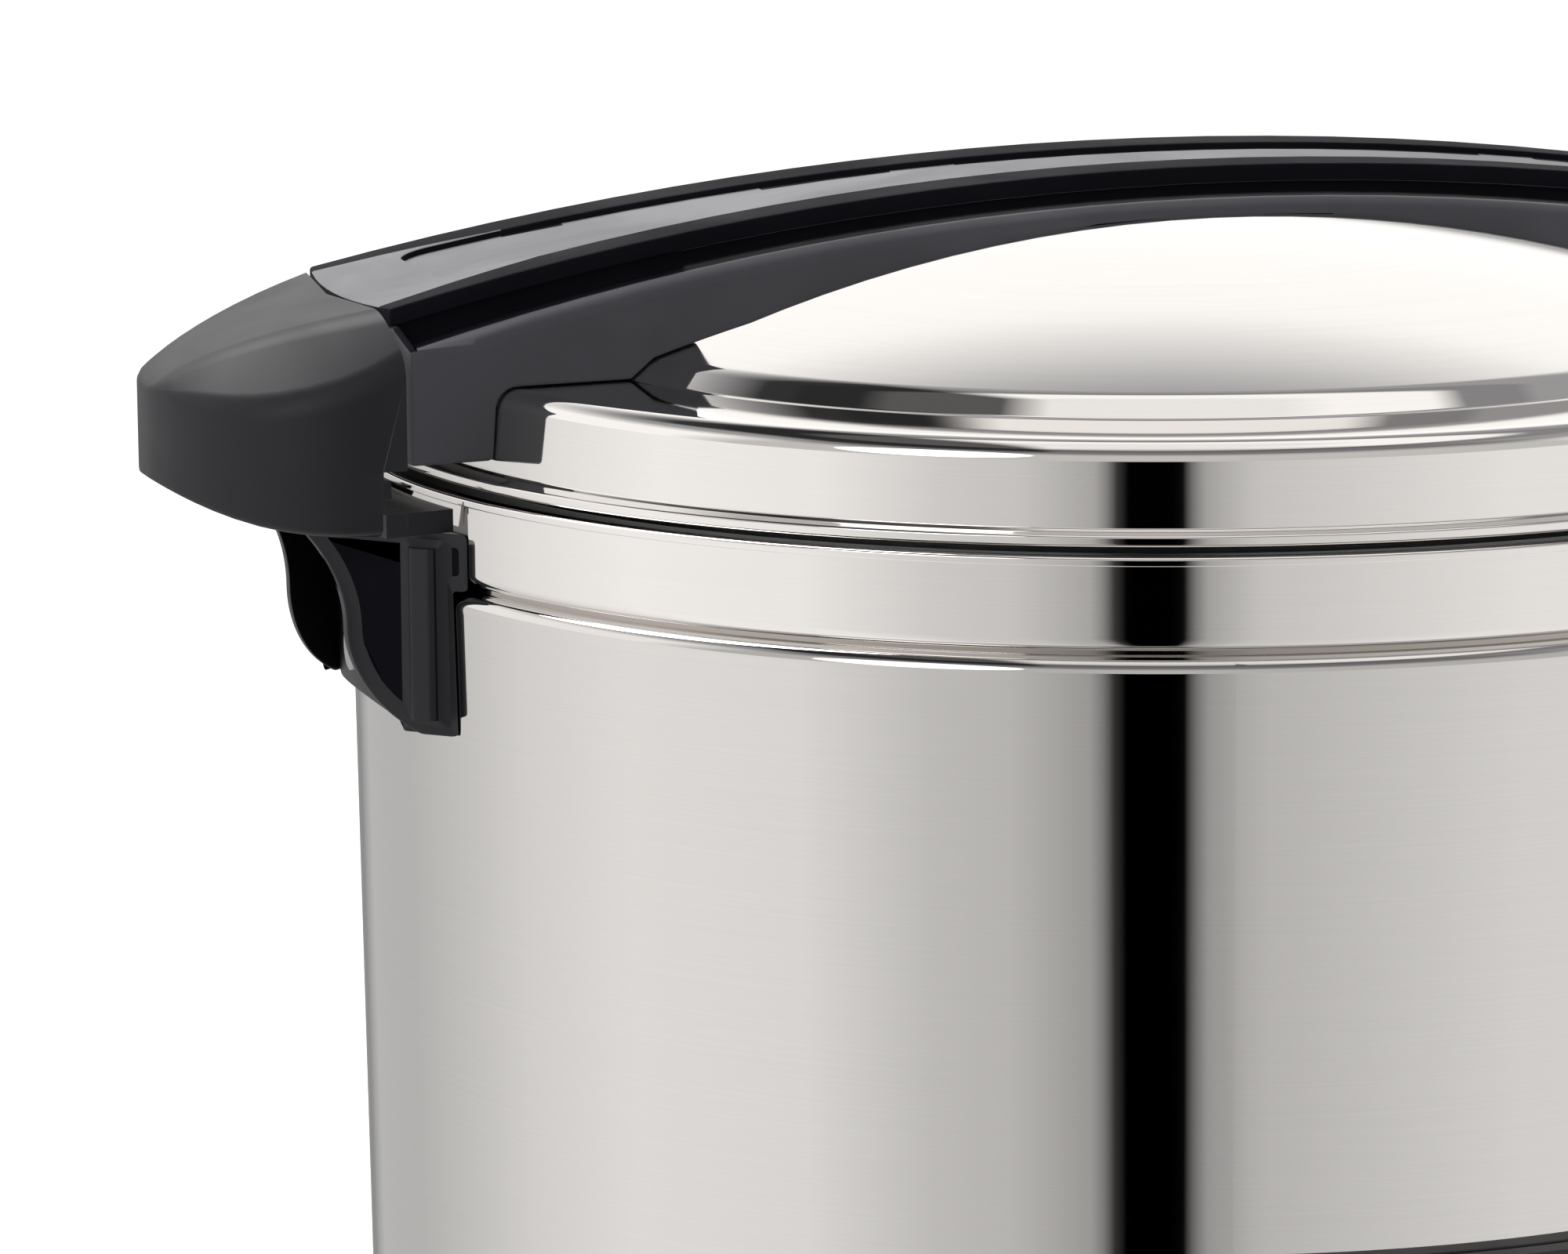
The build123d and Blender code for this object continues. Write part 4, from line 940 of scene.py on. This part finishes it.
@dataclass
class LidArch:
    """Plastic arch across the lid and its cover plate, with the groove between them painted shade black."""

    arch_round: float = 0.7 * MM
    cover_round: float = 0.45 * MM
    lip_round: float = 2.8 * MM
    unshaded_half: float = 11.3 * MM
    unshaded_flare: float = 0.24
    flare_start: float = 92.0 * MM
    foot_start: float = 92.0 * MM
    knob_round: float = 0.6 * MM
    lip_top: float = 286.2 * MM
    lip_radius: float = 560.0 * MM
    lip_margin: float = 0.2 * MM
    lip_steps: int = 4
    level: float = 0.9
    upright: float = 0.8
    top_facing: float = 0.5

    def in_groove(self, face: Face) -> bool:
        """Tells whether a face of the arch lies above its lip.

        Args:
            face: the face.

        Returns:
            True where it is part of the groove.
        """
        middle = face.calc_center_median()
        lip = self.lip_top - self.lip_radius + math.sqrt(self.lip_radius**2 - middle.x**2)
        return middle.z > lip - self.lip_margin

    def build(self) -> None:
        """Builds the arch, the cover plate and the release knob."""
        bm = copied("lid_handle")
        for face in bm.faces:
            # Faces above the lip, in the groove, take the painted shade black of index 1.
            face.material_index = int(self.in_groove(face))
        self.round_lip(bm)
        soften(bm, self.arch_round)
        for name, cuts, nodes in (
            ("arch_left_foot", {-1: -1}, ()),
            ("arch_right_foot", {1: 1}, ()),
            ("arch_span", {-1: 1, 1: -1}, ("lid_handle",)),
        ):
            part = bm.copy()
            for side, kept in cuts.items():
                cut_across(part, side * self.foot_start, kept)
            piece = make_piece(
                name,
                part,
                Slot.HANDLE_PLASTIC,
                Body.LID,
                *nodes,
                first=arch_lit_charcoal,
                second=shade_black,
                even=True,
            )
            piece.visible_glossy = not nodes
        bm.free()
        cover = make_piece(
            "arch_cover",
            self.cover_plate(),
            Slot.COVER_PLASTIC,
            Body.LID,
            "handle_cover",
            second=shade_black,
            even=True,
        )
        cover.visible_glossy = False
        bm = copied("release_knob")
        soften(bm, self.knob_round)
        make_piece("valve_knob", bm, Slot.BLACK_PLASTIC, Body.RELEASE_VALVE, "release_knob", even=True)

    def round_lip(self, bm: Mesh) -> None:
        """Rounds the lip below the groove, which catches the light.

        Args:
            bm: the arch's mesh, with its groove marked.
        """
        lips = []
        for edge in bm.edges:
            upper, side = sorted(edge.link_faces, key=lambda face: abs(face.normal.y))
            outward = side.normal.y * side.calc_center_median().y
            below_groove = upper.material_index and not side.material_index
            at_corner = upper.normal.z > self.level and abs(side.normal.y) > self.upright
            if below_groove and at_corner and outward > 0:
                lips.append(edge)
        for face in bevel(bm, lips, self.lip_round, self.lip_steps):
            face.material_index = 0
        bm.normal_update()

    def unshaded_edge(self, x: float) -> float:
        """Half width of the grey strip on the cover that is left without painted shade, at a place along the
        arch: even in the middle, wider at the ends.
        """
        return self.unshaded_half + self.unshaded_flare * max(0.0, abs(x) - self.flare_start)

    def cover_plate(self) -> Mesh:
        """The cover plate: a grey middle strip, with its sides and its edges beyond the strip painted shade
        black.

        Returns:
            Its mesh.
        """
        bm = copied("handle_cover")
        for side in (-1, 1):
            for end in (-1, 0, 1):
                start = Vector((end * self.flare_start, side * self.unshaded_half, 0))
                way = Vector((-end * self.unshaded_flare, side, 0)).normalized()
                near = [face for face in bm.faces if side * face.calc_center_median().y > 0]
                bisect(bm, near, start, way)
        bm.normal_update()
        for face in bm.faces:
            middle = face.calc_center_median()
            beyond = abs(middle.y) > self.unshaded_edge(middle.x)
            # The cover's sides and its edges past the grey strip take the painted shade black of index 1.
            face.material_index = int(face.normal.z < self.top_facing or beyond)
        soften(bm, self.cover_round)
        return bm


@dataclass
class SideGrips:
    """Plastic grips at both sides, lofted from rounded sections, with the hollow brackets under them."""

    inner: float = 147.1 * MM
    reach: float = 31.7 * MM
    half_width: float = 36.0 * MM
    root_flat: float = 27.0 * MM
    nose_flat: float = 7.0 * MM
    root_slope: float = 0.85
    nose_slope: float = 0.5
    arch_top: float = 291.4 * MM
    arch_radius: float = 620.0 * MM
    nose_top: float = 259.0 * MM
    nose_bottom: float = 245.1 * MM
    root_bottom: float = 238.2 * MM
    even_fall: float = 0.5
    rise_power: float = 2.4
    widest_flat: float = 0.8
    neck: float = 150.0 * MM
    notch_low: float = 242.0 * MM
    notch_high: float = 249.0 * MM
    notch_depth: float = 4.0 * MM
    notch_edge: float = 0.05 * MM
    wall_shares: tuple[float, ...] = (0.13, 0.135, 0.37, 0.375)
    root_inner: float = 138.8 * MM
    root_angle: float = math.radians(14.1)
    root_steps: int = 24
    ridge_round: float = 9.0 * MM
    side_round: float = 6.0 * MM
    under_round: float = 2.0 * MM
    tab_size: tuple[float, float, float] = (4.0 * MM, 5.0 * MM, 2.5 * MM)
    tab_place: tuple[float, float, float] = (146.8 * MM, 31.0 * MM, 245.5 * MM)
    shares: tuple[float, ...] = (
        *(0, 0.126, 0.25, 0.38, 0.5, 0.6, 0.7),
        *(0.78, 0.85, 0.9, 0.94, 0.97, 0.985, 0.995),
    )
    bracket_round: float = 0.45 * MM
    panel_border: float = 2.4 * MM
    panel_depth: float = 1.2 * MM
    rib_height: float = 0.5 * MM
    rib_tall: float = 10.0 * MM
    rib_round: float = 1.3 * MM
    rib_steps: int = 4
    wall_start: float = 15.0 * MM
    sideways: float = 0.5
    same_way: float = 0.97

    def build(self) -> None:
        """Builds the grips and brackets."""
        for side, way in (("left", -1), ("right", 1)):
            bm = self.loft()
            self.add_root(bm)
            self.add_tabs(bm)
            bmesh.ops.scale(bm, vec=(way, 1, 1), verts=bm.verts)
            bmesh.ops.recalc_face_normals(bm, faces=bm.faces)
            grip = make_piece(f"{side}_grip", bm, Slot.HANDLE_PLASTIC, Body.BASE, f"{side}_handle")
            grip.visible_glossy = False
            bm = copied(f"{side}_bracket")
            self.sink_walls(bm)
            soften(bm, self.bracket_round)
            make_piece(
                f"{side}_grip_bracket",
                bm,
                Slot.HANDLE_PLASTIC,
                Body.BASE,
                f"{side}_bracket",
                second=shade_black,
                even=True,
            )

    def crown(self, x: float) -> float:
        """Works out a grip's middle line: the arch carried on, then rounded down to the nose.

        Args:
            x: distance from the cooker's axis.

        Returns:
            The line's height there.
        """
        at = min(x, self.inner)
        start = self.arch_top - self.arch_radius + math.sqrt(self.arch_radius**2 - at**2)
        share = min(1.0, max(0.0, (x - self.inner) / self.reach))
        fall = self.even_fall * share + (1 - self.even_fall) * (1 - math.sqrt(1 - share**2))
        return start - (start - self.nose_top) * fall

    def underside(self, x: float) -> float:
        """Works out a grip's underside, which rises to the nose.

        Args:
            x: distance from the cooker's axis.

        Returns:
            The underside's height there.
        """
        run = self.inner + self.reach - self.neck
        rise = max(0.0, (x - self.neck) / run) ** self.rise_power
        return self.root_bottom + (self.nose_bottom - self.root_bottom) * rise

    def section(self, share: float) -> list[Vector]:
        """Corners of the cross-section at a share of the reach.

        Args:
            share: 0 beside the lid's handle, where the section is as round as the lid, and 1 at the nose.

        Returns:
            The corners from the middle of the underside, up the +Y side and round to the -Y side.
        """
        middle = self.inner + share * self.reach

        def bent(y: float) -> float:
            """Gives the section's x at a place across it."""
            return middle - (self.inner - math.sqrt(self.inner**2 - y**2)) * (1 - share) ** 2

        nose_middle = self.inner + self.reach - self.half_width
        side_x = bent(self.half_width)
        half = math.sqrt(self.half_width**2 - max(0.0, side_x - nose_middle) ** 2)
        flat = min(self.root_flat + (self.nose_flat - self.root_flat) * share, self.widest_flat * half)
        slope = self.root_slope + (self.nose_slope - self.root_slope) * share
        low = self.underside(side_x)
        crease = self.crown(side_x) - slope * (half - flat)
        if share < self.shares[2]:
            gap = self.notch_edge
            walls = [self.notch_low, self.notch_low + gap, self.notch_high - gap, self.notch_high]
        else:
            walls = [low + (crease - low) * part for part in self.wall_shares]
        right = [Vector((side_x, half, height)) for height in (low, *walls, crease)]
        if share == 0:
            for corner in right[2:4]:
                corner.x += self.notch_depth
        right.append(Vector((bent(flat), flat, self.crown(bent(flat)))))
        left = [Vector((corner.x, -corner.y, corner.z)) for corner in reversed(right)]
        top = Vector((middle, 0, self.crown(middle)))
        return [Vector((middle, 0, self.underside(middle))), *right, top, *left]

    def loft(self) -> Mesh:
        """Lofts the grip on +X from its sections.

        Returns:
            Its mesh, without root and tabs.
        """
        bm = bmesh.new()
        rounds = [self.under_round, 0, 0, 0, 0, self.side_round, self.ridge_round]
        loops: list[list[Edge]] = []
        for share in self.shares:
            before = set(bm.edges)
            corners = wire(bm, self.section(share), closed=True)
            for corner, rounding in zip(corners, [0, *rounds, 0, *reversed(rounds)]):
                if rounding:
                    round_corner(bm, corner, rounding, guards=False)
            loops.append([edge for edge in bm.edges if edge not in before])
        for near, far in zip(loops, loops[1:]):
            bmesh.ops.bridge_loops(bm, edges=near + far)
        for loop in (loops[0], loops[-1]):
            bmesh.ops.triangle_fill(bm, edges=loop, use_beauty=True)
        return bm

    def add_root(self, bm: Mesh) -> None:
        """Adds the root under the notch, which reaches in to the collar.

        Args:
            bm: the grip's mesh.
        """
        outer = self.inner + self.notch_depth
        places = [
            (self.root_inner, self.root_bottom),
            (outer, self.root_bottom),
            (outer, self.notch_low),
            (self.root_inner, self.notch_low),
        ]
        turn = Matrix.Rotation(-self.root_angle, 3, "Z")
        corners = wire(bm, [turn @ Vector((radius, 0, height)) for radius, height in places], closed=True)
        start = bm.faces.new(corners)
        bmesh.ops.spin(
            bm,
            geom=[*corners, *start.edges, start],
            axis=(0, 0, 1),
            cent=(0, 0, 0),
            angle=2 * self.root_angle,
            steps=self.root_steps,
        )

    def add_tabs(self, bm: Mesh) -> None:
        """Adds the small tabs that stand in the notch.

        Args:
            bm: the grip's mesh.
        """
        x, y, z = self.tab_place
        for side in (-1, 1):
            place = Matrix.Translation((x, side * y, z)) @ Matrix.Diagonal((*self.tab_size, 1))
            bmesh.ops.create_cube(bm, size=1.0, matrix=place)

    def sink_walls(self, bm: Mesh) -> None:
        """Sinks a panel into each side wall of a bracket, painted shade black, and rounds the rib beside it.

        Args:
            bm: the bracket's mesh.
        """
        for half in (-1, 1):
            walls = []
            for face in bm.faces:
                outside = half * face.calc_center_median().y > self.wall_start
                if outside and half * face.normal.y > self.sideways:
                    walls.append(face)
            way = max(walls, key=lambda face: face.calc_area()).normal.copy()
            facing = [face for face in walls if face.normal.dot(way) > self.same_way]
            heights = {face: way.dot(face.calc_center_median()) for face in facing}
            level = min(heights.values())
            panel = [face for face, height in heights.items() if height < level + self.rib_height]
            rib = next(face for face in facing if face not in panel)
            upright = []
            for edge in rib.edges:
                first, last = edge.verts
                if abs(first.co.z - last.co.z) > self.rib_tall:
                    upright.append(edge)
            bevel(bm, upright, self.rib_round, self.rib_steps)
            # The sunk panel takes the painted shade black of index 1.
            sink(bm, panel, self.panel_border, self.panel_depth, index=1)


@dataclass
class FrontPanel:
    """Control panel low on the front: bezel, dished buttons and display."""

    bezel_round: float = 0.6 * MM
    button_border: float = 1.3 * MM
    button_dish: float = 0.5 * MM
    button_round: float = 0.35 * MM
    front_facing: float = -0.97
    shown_time: str = "0030"
    digit_places: tuple[float, ...] = (-16.5 * MM, -6.5 * MM, 6.5 * MM, 16.5 * MM)
    digit_half: float = 3.0 * MM
    bar_width: float = 0.9 * MM
    bar_length: float = 5.0 * MM
    bar_proud: float = 0.2 * MM
    bar_places: dict[str, tuple[int, int, bool]] = field(
        default_factory=lambda: {
            "top": (0, 2, False),
            "middle": (0, 0, False),
            "bottom": (0, -2, False),
            "upper_left": (-1, 1, True),
            "upper_right": (1, 1, True),
            "lower_left": (-1, -1, True),
            "lower_right": (1, -1, True),
        }
    )
    lit_bars: dict[str, tuple[str, ...]] = field(
        default_factory=lambda: {
            "0": ("top", "bottom", "upper_left", "upper_right", "lower_left", "lower_right"),
            "3": ("top", "middle", "bottom", "upper_right", "lower_right"),
        }
    )
    buttons: tuple[Body, ...] = tuple(body for body in Body if body.value.endswith("_button"))

    def build(self) -> None:
        """Builds the digits, the bezel and the buttons."""
        self.build_digits()
        bm = copied("control_panel")
        soften(bm, self.bezel_round)
        make_piece("panel_bezel", bm, Slot.BLACK_PLASTIC, Body.BASE, "control_panel", even=True)
        for body in self.buttons:
            name = body.value.removesuffix("_button")
            bm = copied(f"button_{name}")
            front = [face for face in bm.faces if face.normal.y < self.front_facing]
            sink(bm, front, self.button_border, self.button_dish)
            soften(bm, self.button_round)
            make_piece(f"{name}_key", bm, Slot.BUTTON_PLASTIC, body, f"button_{name}", even=True)

    def build_digits(self) -> None:
        """Builds the display's bars, which stand for a time."""
        low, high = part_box("display_lens")
        middle = (low.z + high.z) / 2
        bm = bmesh.new()
        for digit, across in zip(self.shown_time, self.digit_places):
            for name in self.lit_bars[digit]:
                x, z, upright = self.bar_places[name]
                wide, tall = self.bar_length, self.bar_width
                if upright:
                    wide, tall = tall, wide
                turn = Matrix.Rotation((across + x * self.digit_half) / -low.y, 4, "Z")
                place = Matrix.Translation((0, low.y, middle + z * self.digit_half))
                size = Matrix.Diagonal((wide, self.bar_proud, tall, 1))
                bmesh.ops.create_cube(bm, size=1.0, matrix=turn @ place @ size)
        make_piece("display_digits", bm, Slot.DISPLAY_GLASS, Body.BASE, first=segment_grey)


@dataclass
class SensorSpring:
    """Spring under the temperature sensor; the real one shortens while the pot presses the sensor down, but
    this piece keeps one length.
    """

    seat: float = 40.0 * MM
    travel: float = 3.0 * MM

    def build(self) -> None:
        """Builds the spring on the base, with a mesh of its own."""
        bm = copied("thermostat_spring")
        spring = make_piece("sensor_spring", bm, Slot.BRACKET_STEEL, Body.BASE, "thermostat_spring")
        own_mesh(spring)


@dataclass
class PhotoCamera:
    """Camera at the photograph's place."""

    place: Vector = field(default_factory=lambda: Vector((-426.7, -1191.7, 435.1)) * MM)
    pan: float = math.radians(16.74)
    tilt: float = math.radians(10.13)
    roll: float = math.radians(-0.5)
    lens: float = 170.15
    sensor: float = 36.0
    nearest: float = 50 * MM

    def build(self) -> None:
        """Makes the camera and gives it to the scene."""
        data = bpy.data.cameras.new("photo_camera")
        data.sensor_fit = "HORIZONTAL"
        data.sensor_width = self.sensor
        data.lens = self.lens
        data.clip_start = self.nearest
        camera = bpy.data.objects.new("photo_camera", data)
        flat = math.cos(self.tilt)
        aim = Vector((flat * math.sin(self.pan), flat * math.cos(self.pan), -math.sin(self.tilt)))
        turn = aim.to_track_quat("-Z", "Y").to_matrix().to_4x4()
        camera.matrix_world = Matrix.Translation(self.place) @ turn @ Matrix.Rotation(self.roll, 4, "Z")
        bpy.context.scene.collection.objects.link(camera)
        bpy.context.scene.camera = camera


@dataclass
class Studio:
    """White floor and sky, soft lamps and the reflector that the steel mirrors.

    The sky's rings go by height, from 0 at the level of the eye to 1 overhead. A patch of it to the upper
    left is shaded, and its front half is a little darker. The reflector's tones go by degrees round the
    wall, from 0 at the studio's front.
    """

    ambient: float = 0.6
    floor_half: float = 12.0
    floor_colour: Colour = (0.45, 0.45, 0.45)
    floor_lift: float = 0.78
    front_azimuth: float = math.radians(19.7)
    mirrored: float = 1.25
    rings: tuple[tuple[float, SkyTone], ...] = (
        (0.0, SkyTone.BRIGHT),
        (0.52, SkyTone.BRIGHT),
        (0.61, SkyTone.HALF),
        (0.69, SkyTone.DIM),
        (0.80, SkyTone.DIM),
        (0.82, SkyTone.DARK),
        (0.875, SkyTone.DARK),
        (0.90, SkyTone.BRIGHT),
        (0.96, SkyTone.BRIGHT),
        (0.98, SkyTone.TOP),
        (1.0, SkyTone.TOP),
    )
    patch_near: Span = (0.17, 0.24)
    patch_far: Span = (0.66, 0.58)
    patch_height: Span = (0.69, 0.77)
    patch_tone: float = 0.1
    front_edge: Span = (0.2, 0.4)
    front_shade: float = 0.5
    wall_radius: float = 0.62
    wall_depth: float = 0.8
    wall_height: float = 0.33
    wall_tones: tuple[Span, ...] = (
        *((-180, 0.3), (-150, 0.3), (-141, 0.6), (-120, 0.67), (-100, 0.87), (-90, 0.99), (-70, 1.14)),
        *((-45, 1.08), (-28, 0.8), (-18, 0.73), (-7.4, 0.48), (-6.6, 0.12), (-5, 0.0), (2.8, 0.0)),
        *((3.6, 0.12), (5, 0.45), (12, 0.72), (45, 1.0), (90, 1.1), (140, 0.7), (150, 0.3), (180, 0.3)),
    )
    lamps: tuple[tuple[str, Vector, float, float], ...] = (
        ("overhead_softbox", Vector((-0.6, 0.6, 1.5)), 1.0, 16.0),
        ("left_softbox", Vector((-1.5, -1.1, 1.1)), 1.0, 4.0),
    )
    kept_off_lid: str = "overhead_softbox"
    aim: Vector = field(default_factory=lambda: Vector((0.0, 0.0, 0.22)))

    def build(self) -> None:
        """Builds the whole studio."""
        bpy.context.scene.view_settings.view_transform = "Standard"
        self.build_world()
        self.build_floor()
        self.build_lamps()
        self.build_reflector()

    @staticmethod
    def seen_rays(graph: Graph) -> Socket:
        """Picks out the rays from the camera, a mirror or glass.

        Args:
            graph: the graph of the world or the material.

        Returns:
            A socket that is 1 on those rays.
        """
        path = graph.add("ShaderNodeLightPath").outputs
        first = graph.math("MAXIMUM", path["Is Camera Ray"], path["Is Glossy Ray"])
        return graph.math("MAXIMUM", first, path["Is Transmission Ray"])

    def shading(self, graph: Graph, way: Socket, height: Socket) -> Socket:
        """Where the mirrored sky is shaded.

        Args:
            graph: the world's graph.
            way: the direction of the sky.
            height: how high that direction points.

        Returns:
            A socket from 0, bright, to 1, fully shaded.
        """
        across = math.cos(self.front_azimuth)
        deep = math.sin(self.front_azimuth)
        sideways = graph.along(way, Vector((-across, deep, 0.0)))
        ahead = graph.along(way, Vector((-deep, -across, 0.0)))
        near = graph.spread(sideways, self.patch_near)
        far = graph.spread(sideways, self.patch_far)
        raised = graph.spread(height, self.patch_height)
        patch = graph.math("MULTIPLY", graph.math("MULTIPLY", near, far), raised)
        front = graph.spread(ahead, self.front_edge, (0.0, self.front_shade))
        return graph.math("MAXIMUM", patch, front)

    def build_world(self) -> None:
        """White to the eye, a soft sky to the steel and plain ambient light to the rest."""
        world = bpy.data.worlds.new("studio_world")
        bpy.context.scene.world = world
        world.use_nodes = True
        graph = Graph(world.node_tree)
        way = graph.add("ShaderNodeTexCoord").outputs["Generated"]
        height = graph.add("ShaderNodeSeparateXYZ", {0: way}).outputs["Z"]
        sky = graph.ramp(height, [(level, tone.value) for level, tone in self.rings])
        tones = (self.mirrored, self.mirrored * self.patch_tone)
        strength = graph.spread(self.shading(graph, way, height), target=tones)
        plain = (1, 1, 1, 1)
        ambient = graph.add("ShaderNodeBackground", {"Color": plain, "Strength": self.ambient}).outputs[0]
        mirrored = graph.add("ShaderNodeBackground", {"Color": sky, "Strength": strength}).outputs[0]
        white = graph.add("ShaderNodeBackground", {"Color": plain, "Strength": 1.0}).outputs[0]
        camera = graph.add("ShaderNodeLightPath").outputs["Is Camera Ray"]
        unseen = graph.add("ShaderNodeMixShader", {0: self.seen_rays(graph), 1: ambient, 2: mirrored})
        whole = graph.add("ShaderNodeMixShader", {0: camera, 1: unseen.outputs[0], 2: white})
        graph.add("ShaderNodeOutputWorld", {"Surface": whole.outputs[0]})

    def build_floor(self) -> None:
        """A pale floor that shows white, keeps the cooker's shadow and is clear from below."""
        bm = bmesh.new()
        bmesh.ops.create_grid(bm, x_segments=1, y_segments=1, size=self.floor_half)
        material = bpy.data.materials.new("pale_floor")
        material.use_nodes = True
        graph = Graph(material.node_tree)
        diffuse = graph.add("ShaderNodeBsdfDiffuse", {"Color": (*self.floor_colour, 1)})
        strength = graph.math("MULTIPLY", self.seen_rays(graph), self.floor_lift)
        lift = graph.add("ShaderNodeEmission", {"Color": (1, 1, 1, 1), "Strength": strength})
        both = graph.add("ShaderNodeAddShader", {0: diffuse.outputs[0], 1: lift.outputs[0]})
        mirrored = graph.add("ShaderNodeLightPath").outputs["Is Glossy Ray"]
        below = graph.add("ShaderNodeNewGeometry").outputs["Backfacing"]
        unseen = graph.math("MAXIMUM", mirrored, below)
        clear = graph.add("ShaderNodeBsdfTransparent")
        mixed = graph.add("ShaderNodeMixShader", {0: unseen, 1: both.outputs[0], 2: clear.outputs[0]})
        graph.add("ShaderNodeOutputMaterial", {"Surface": mixed.outputs[0]})
        floor = mesh_object("studio_floor", bm, material)

    def build_lamps(self) -> None:
        """Hangs the softboxes."""
        for name, place, size, power in self.lamps:
            data = bpy.data.lights.new(name, "AREA")
            data.shape = "DISK"
            data.size = size
            data.energy = power
            lamp = bpy.data.objects.new(name, data)
            aim = (self.aim - place).to_track_quat("-Z", "Y").to_matrix().to_4x4()
            lamp.matrix_world = Matrix.Translation(place) @ aim
            bpy.context.scene.collection.objects.link(lamp)
            if name == self.kept_off_lid:
                shaded = bpy.data.collections.new("shaded_lid")
                shaded.objects.link(bpy.data.objects["lid_cover"])
                shaded.collection_objects[0].light_linking.link_state = "EXCLUDE"
                lamp.light_linking.receiver_collection = shaded

    def build_reflector(self) -> None:
        """A round wall of shaded cloth that only reflections see, with a dark gap at its front."""
        bm = bmesh.new()
        ends = [Vector((self.wall_radius, 0.0, height)) for height in (-self.wall_depth, self.wall_height)]
        wire(bm, ends, closed=False)
        spin_round(bm)
        wall = mesh_object("reflector_wall", bm, self.reflector_cloth())
        wall.visible_camera = False
        wall.visible_diffuse = False
        wall.visible_shadow = False
        wall.visible_transmission = False

    def reflector_cloth(self) -> Material:
        """Glowing cloth whose shade changes round the wall.

        Returns:
            The cloth's material.
        """
        material = bpy.data.materials.new("reflector_cloth")
        material.use_nodes = True
        graph = Graph(material.node_tree)
        place = graph.add("ShaderNodeTexCoord").outputs["Object"]
        turn = {"Vector": place, "Angle": math.pi / 2 + self.front_azimuth}
        faced = graph.add("ShaderNodeVectorRotate", turn, rotation_type="Z_AXIS").outputs[0]
        share = graph.add("ShaderNodeTexGradient", {"Vector": faced}, gradient_type="RADIAL").outputs["Fac"]
        strongest = max(tone for _, tone in self.wall_tones)
        stops = [((angle + 180) / 360, (tone / strongest,) * 3) for angle, tone in self.wall_tones]
        glow = graph.add("ShaderNodeEmission", {"Color": graph.ramp(share, stops), "Strength": strongest})
        graph.add("ShaderNodeOutputMaterial", {"Surface": glow.outputs[0]})
        return material


def dress_frame() -> None:
    """Gives every frame node the finish of its slot."""
    for part in frame["record"]["subparts"]:
        node = frame["nodes"][part["node"]]
        finish = materials[Slot(part["material_slot"])]
        node.data.materials.clear()
        node.data.materials.append(finish)


def main() -> None:
    """Dresses the frame, builds the pieces and sets up the studio."""
    logging.basicConfig(level=logging.INFO, format="%(name)s %(message)s")
    dress_frame()
    for assembly in (Housing(), Lid(), LidArch(), SideGrips(), FrontPanel(), SensorSpring()):
        assembly.build()
    PhotoCamera().build()
    Studio().build()


if __name__ == "__main__":
    main()
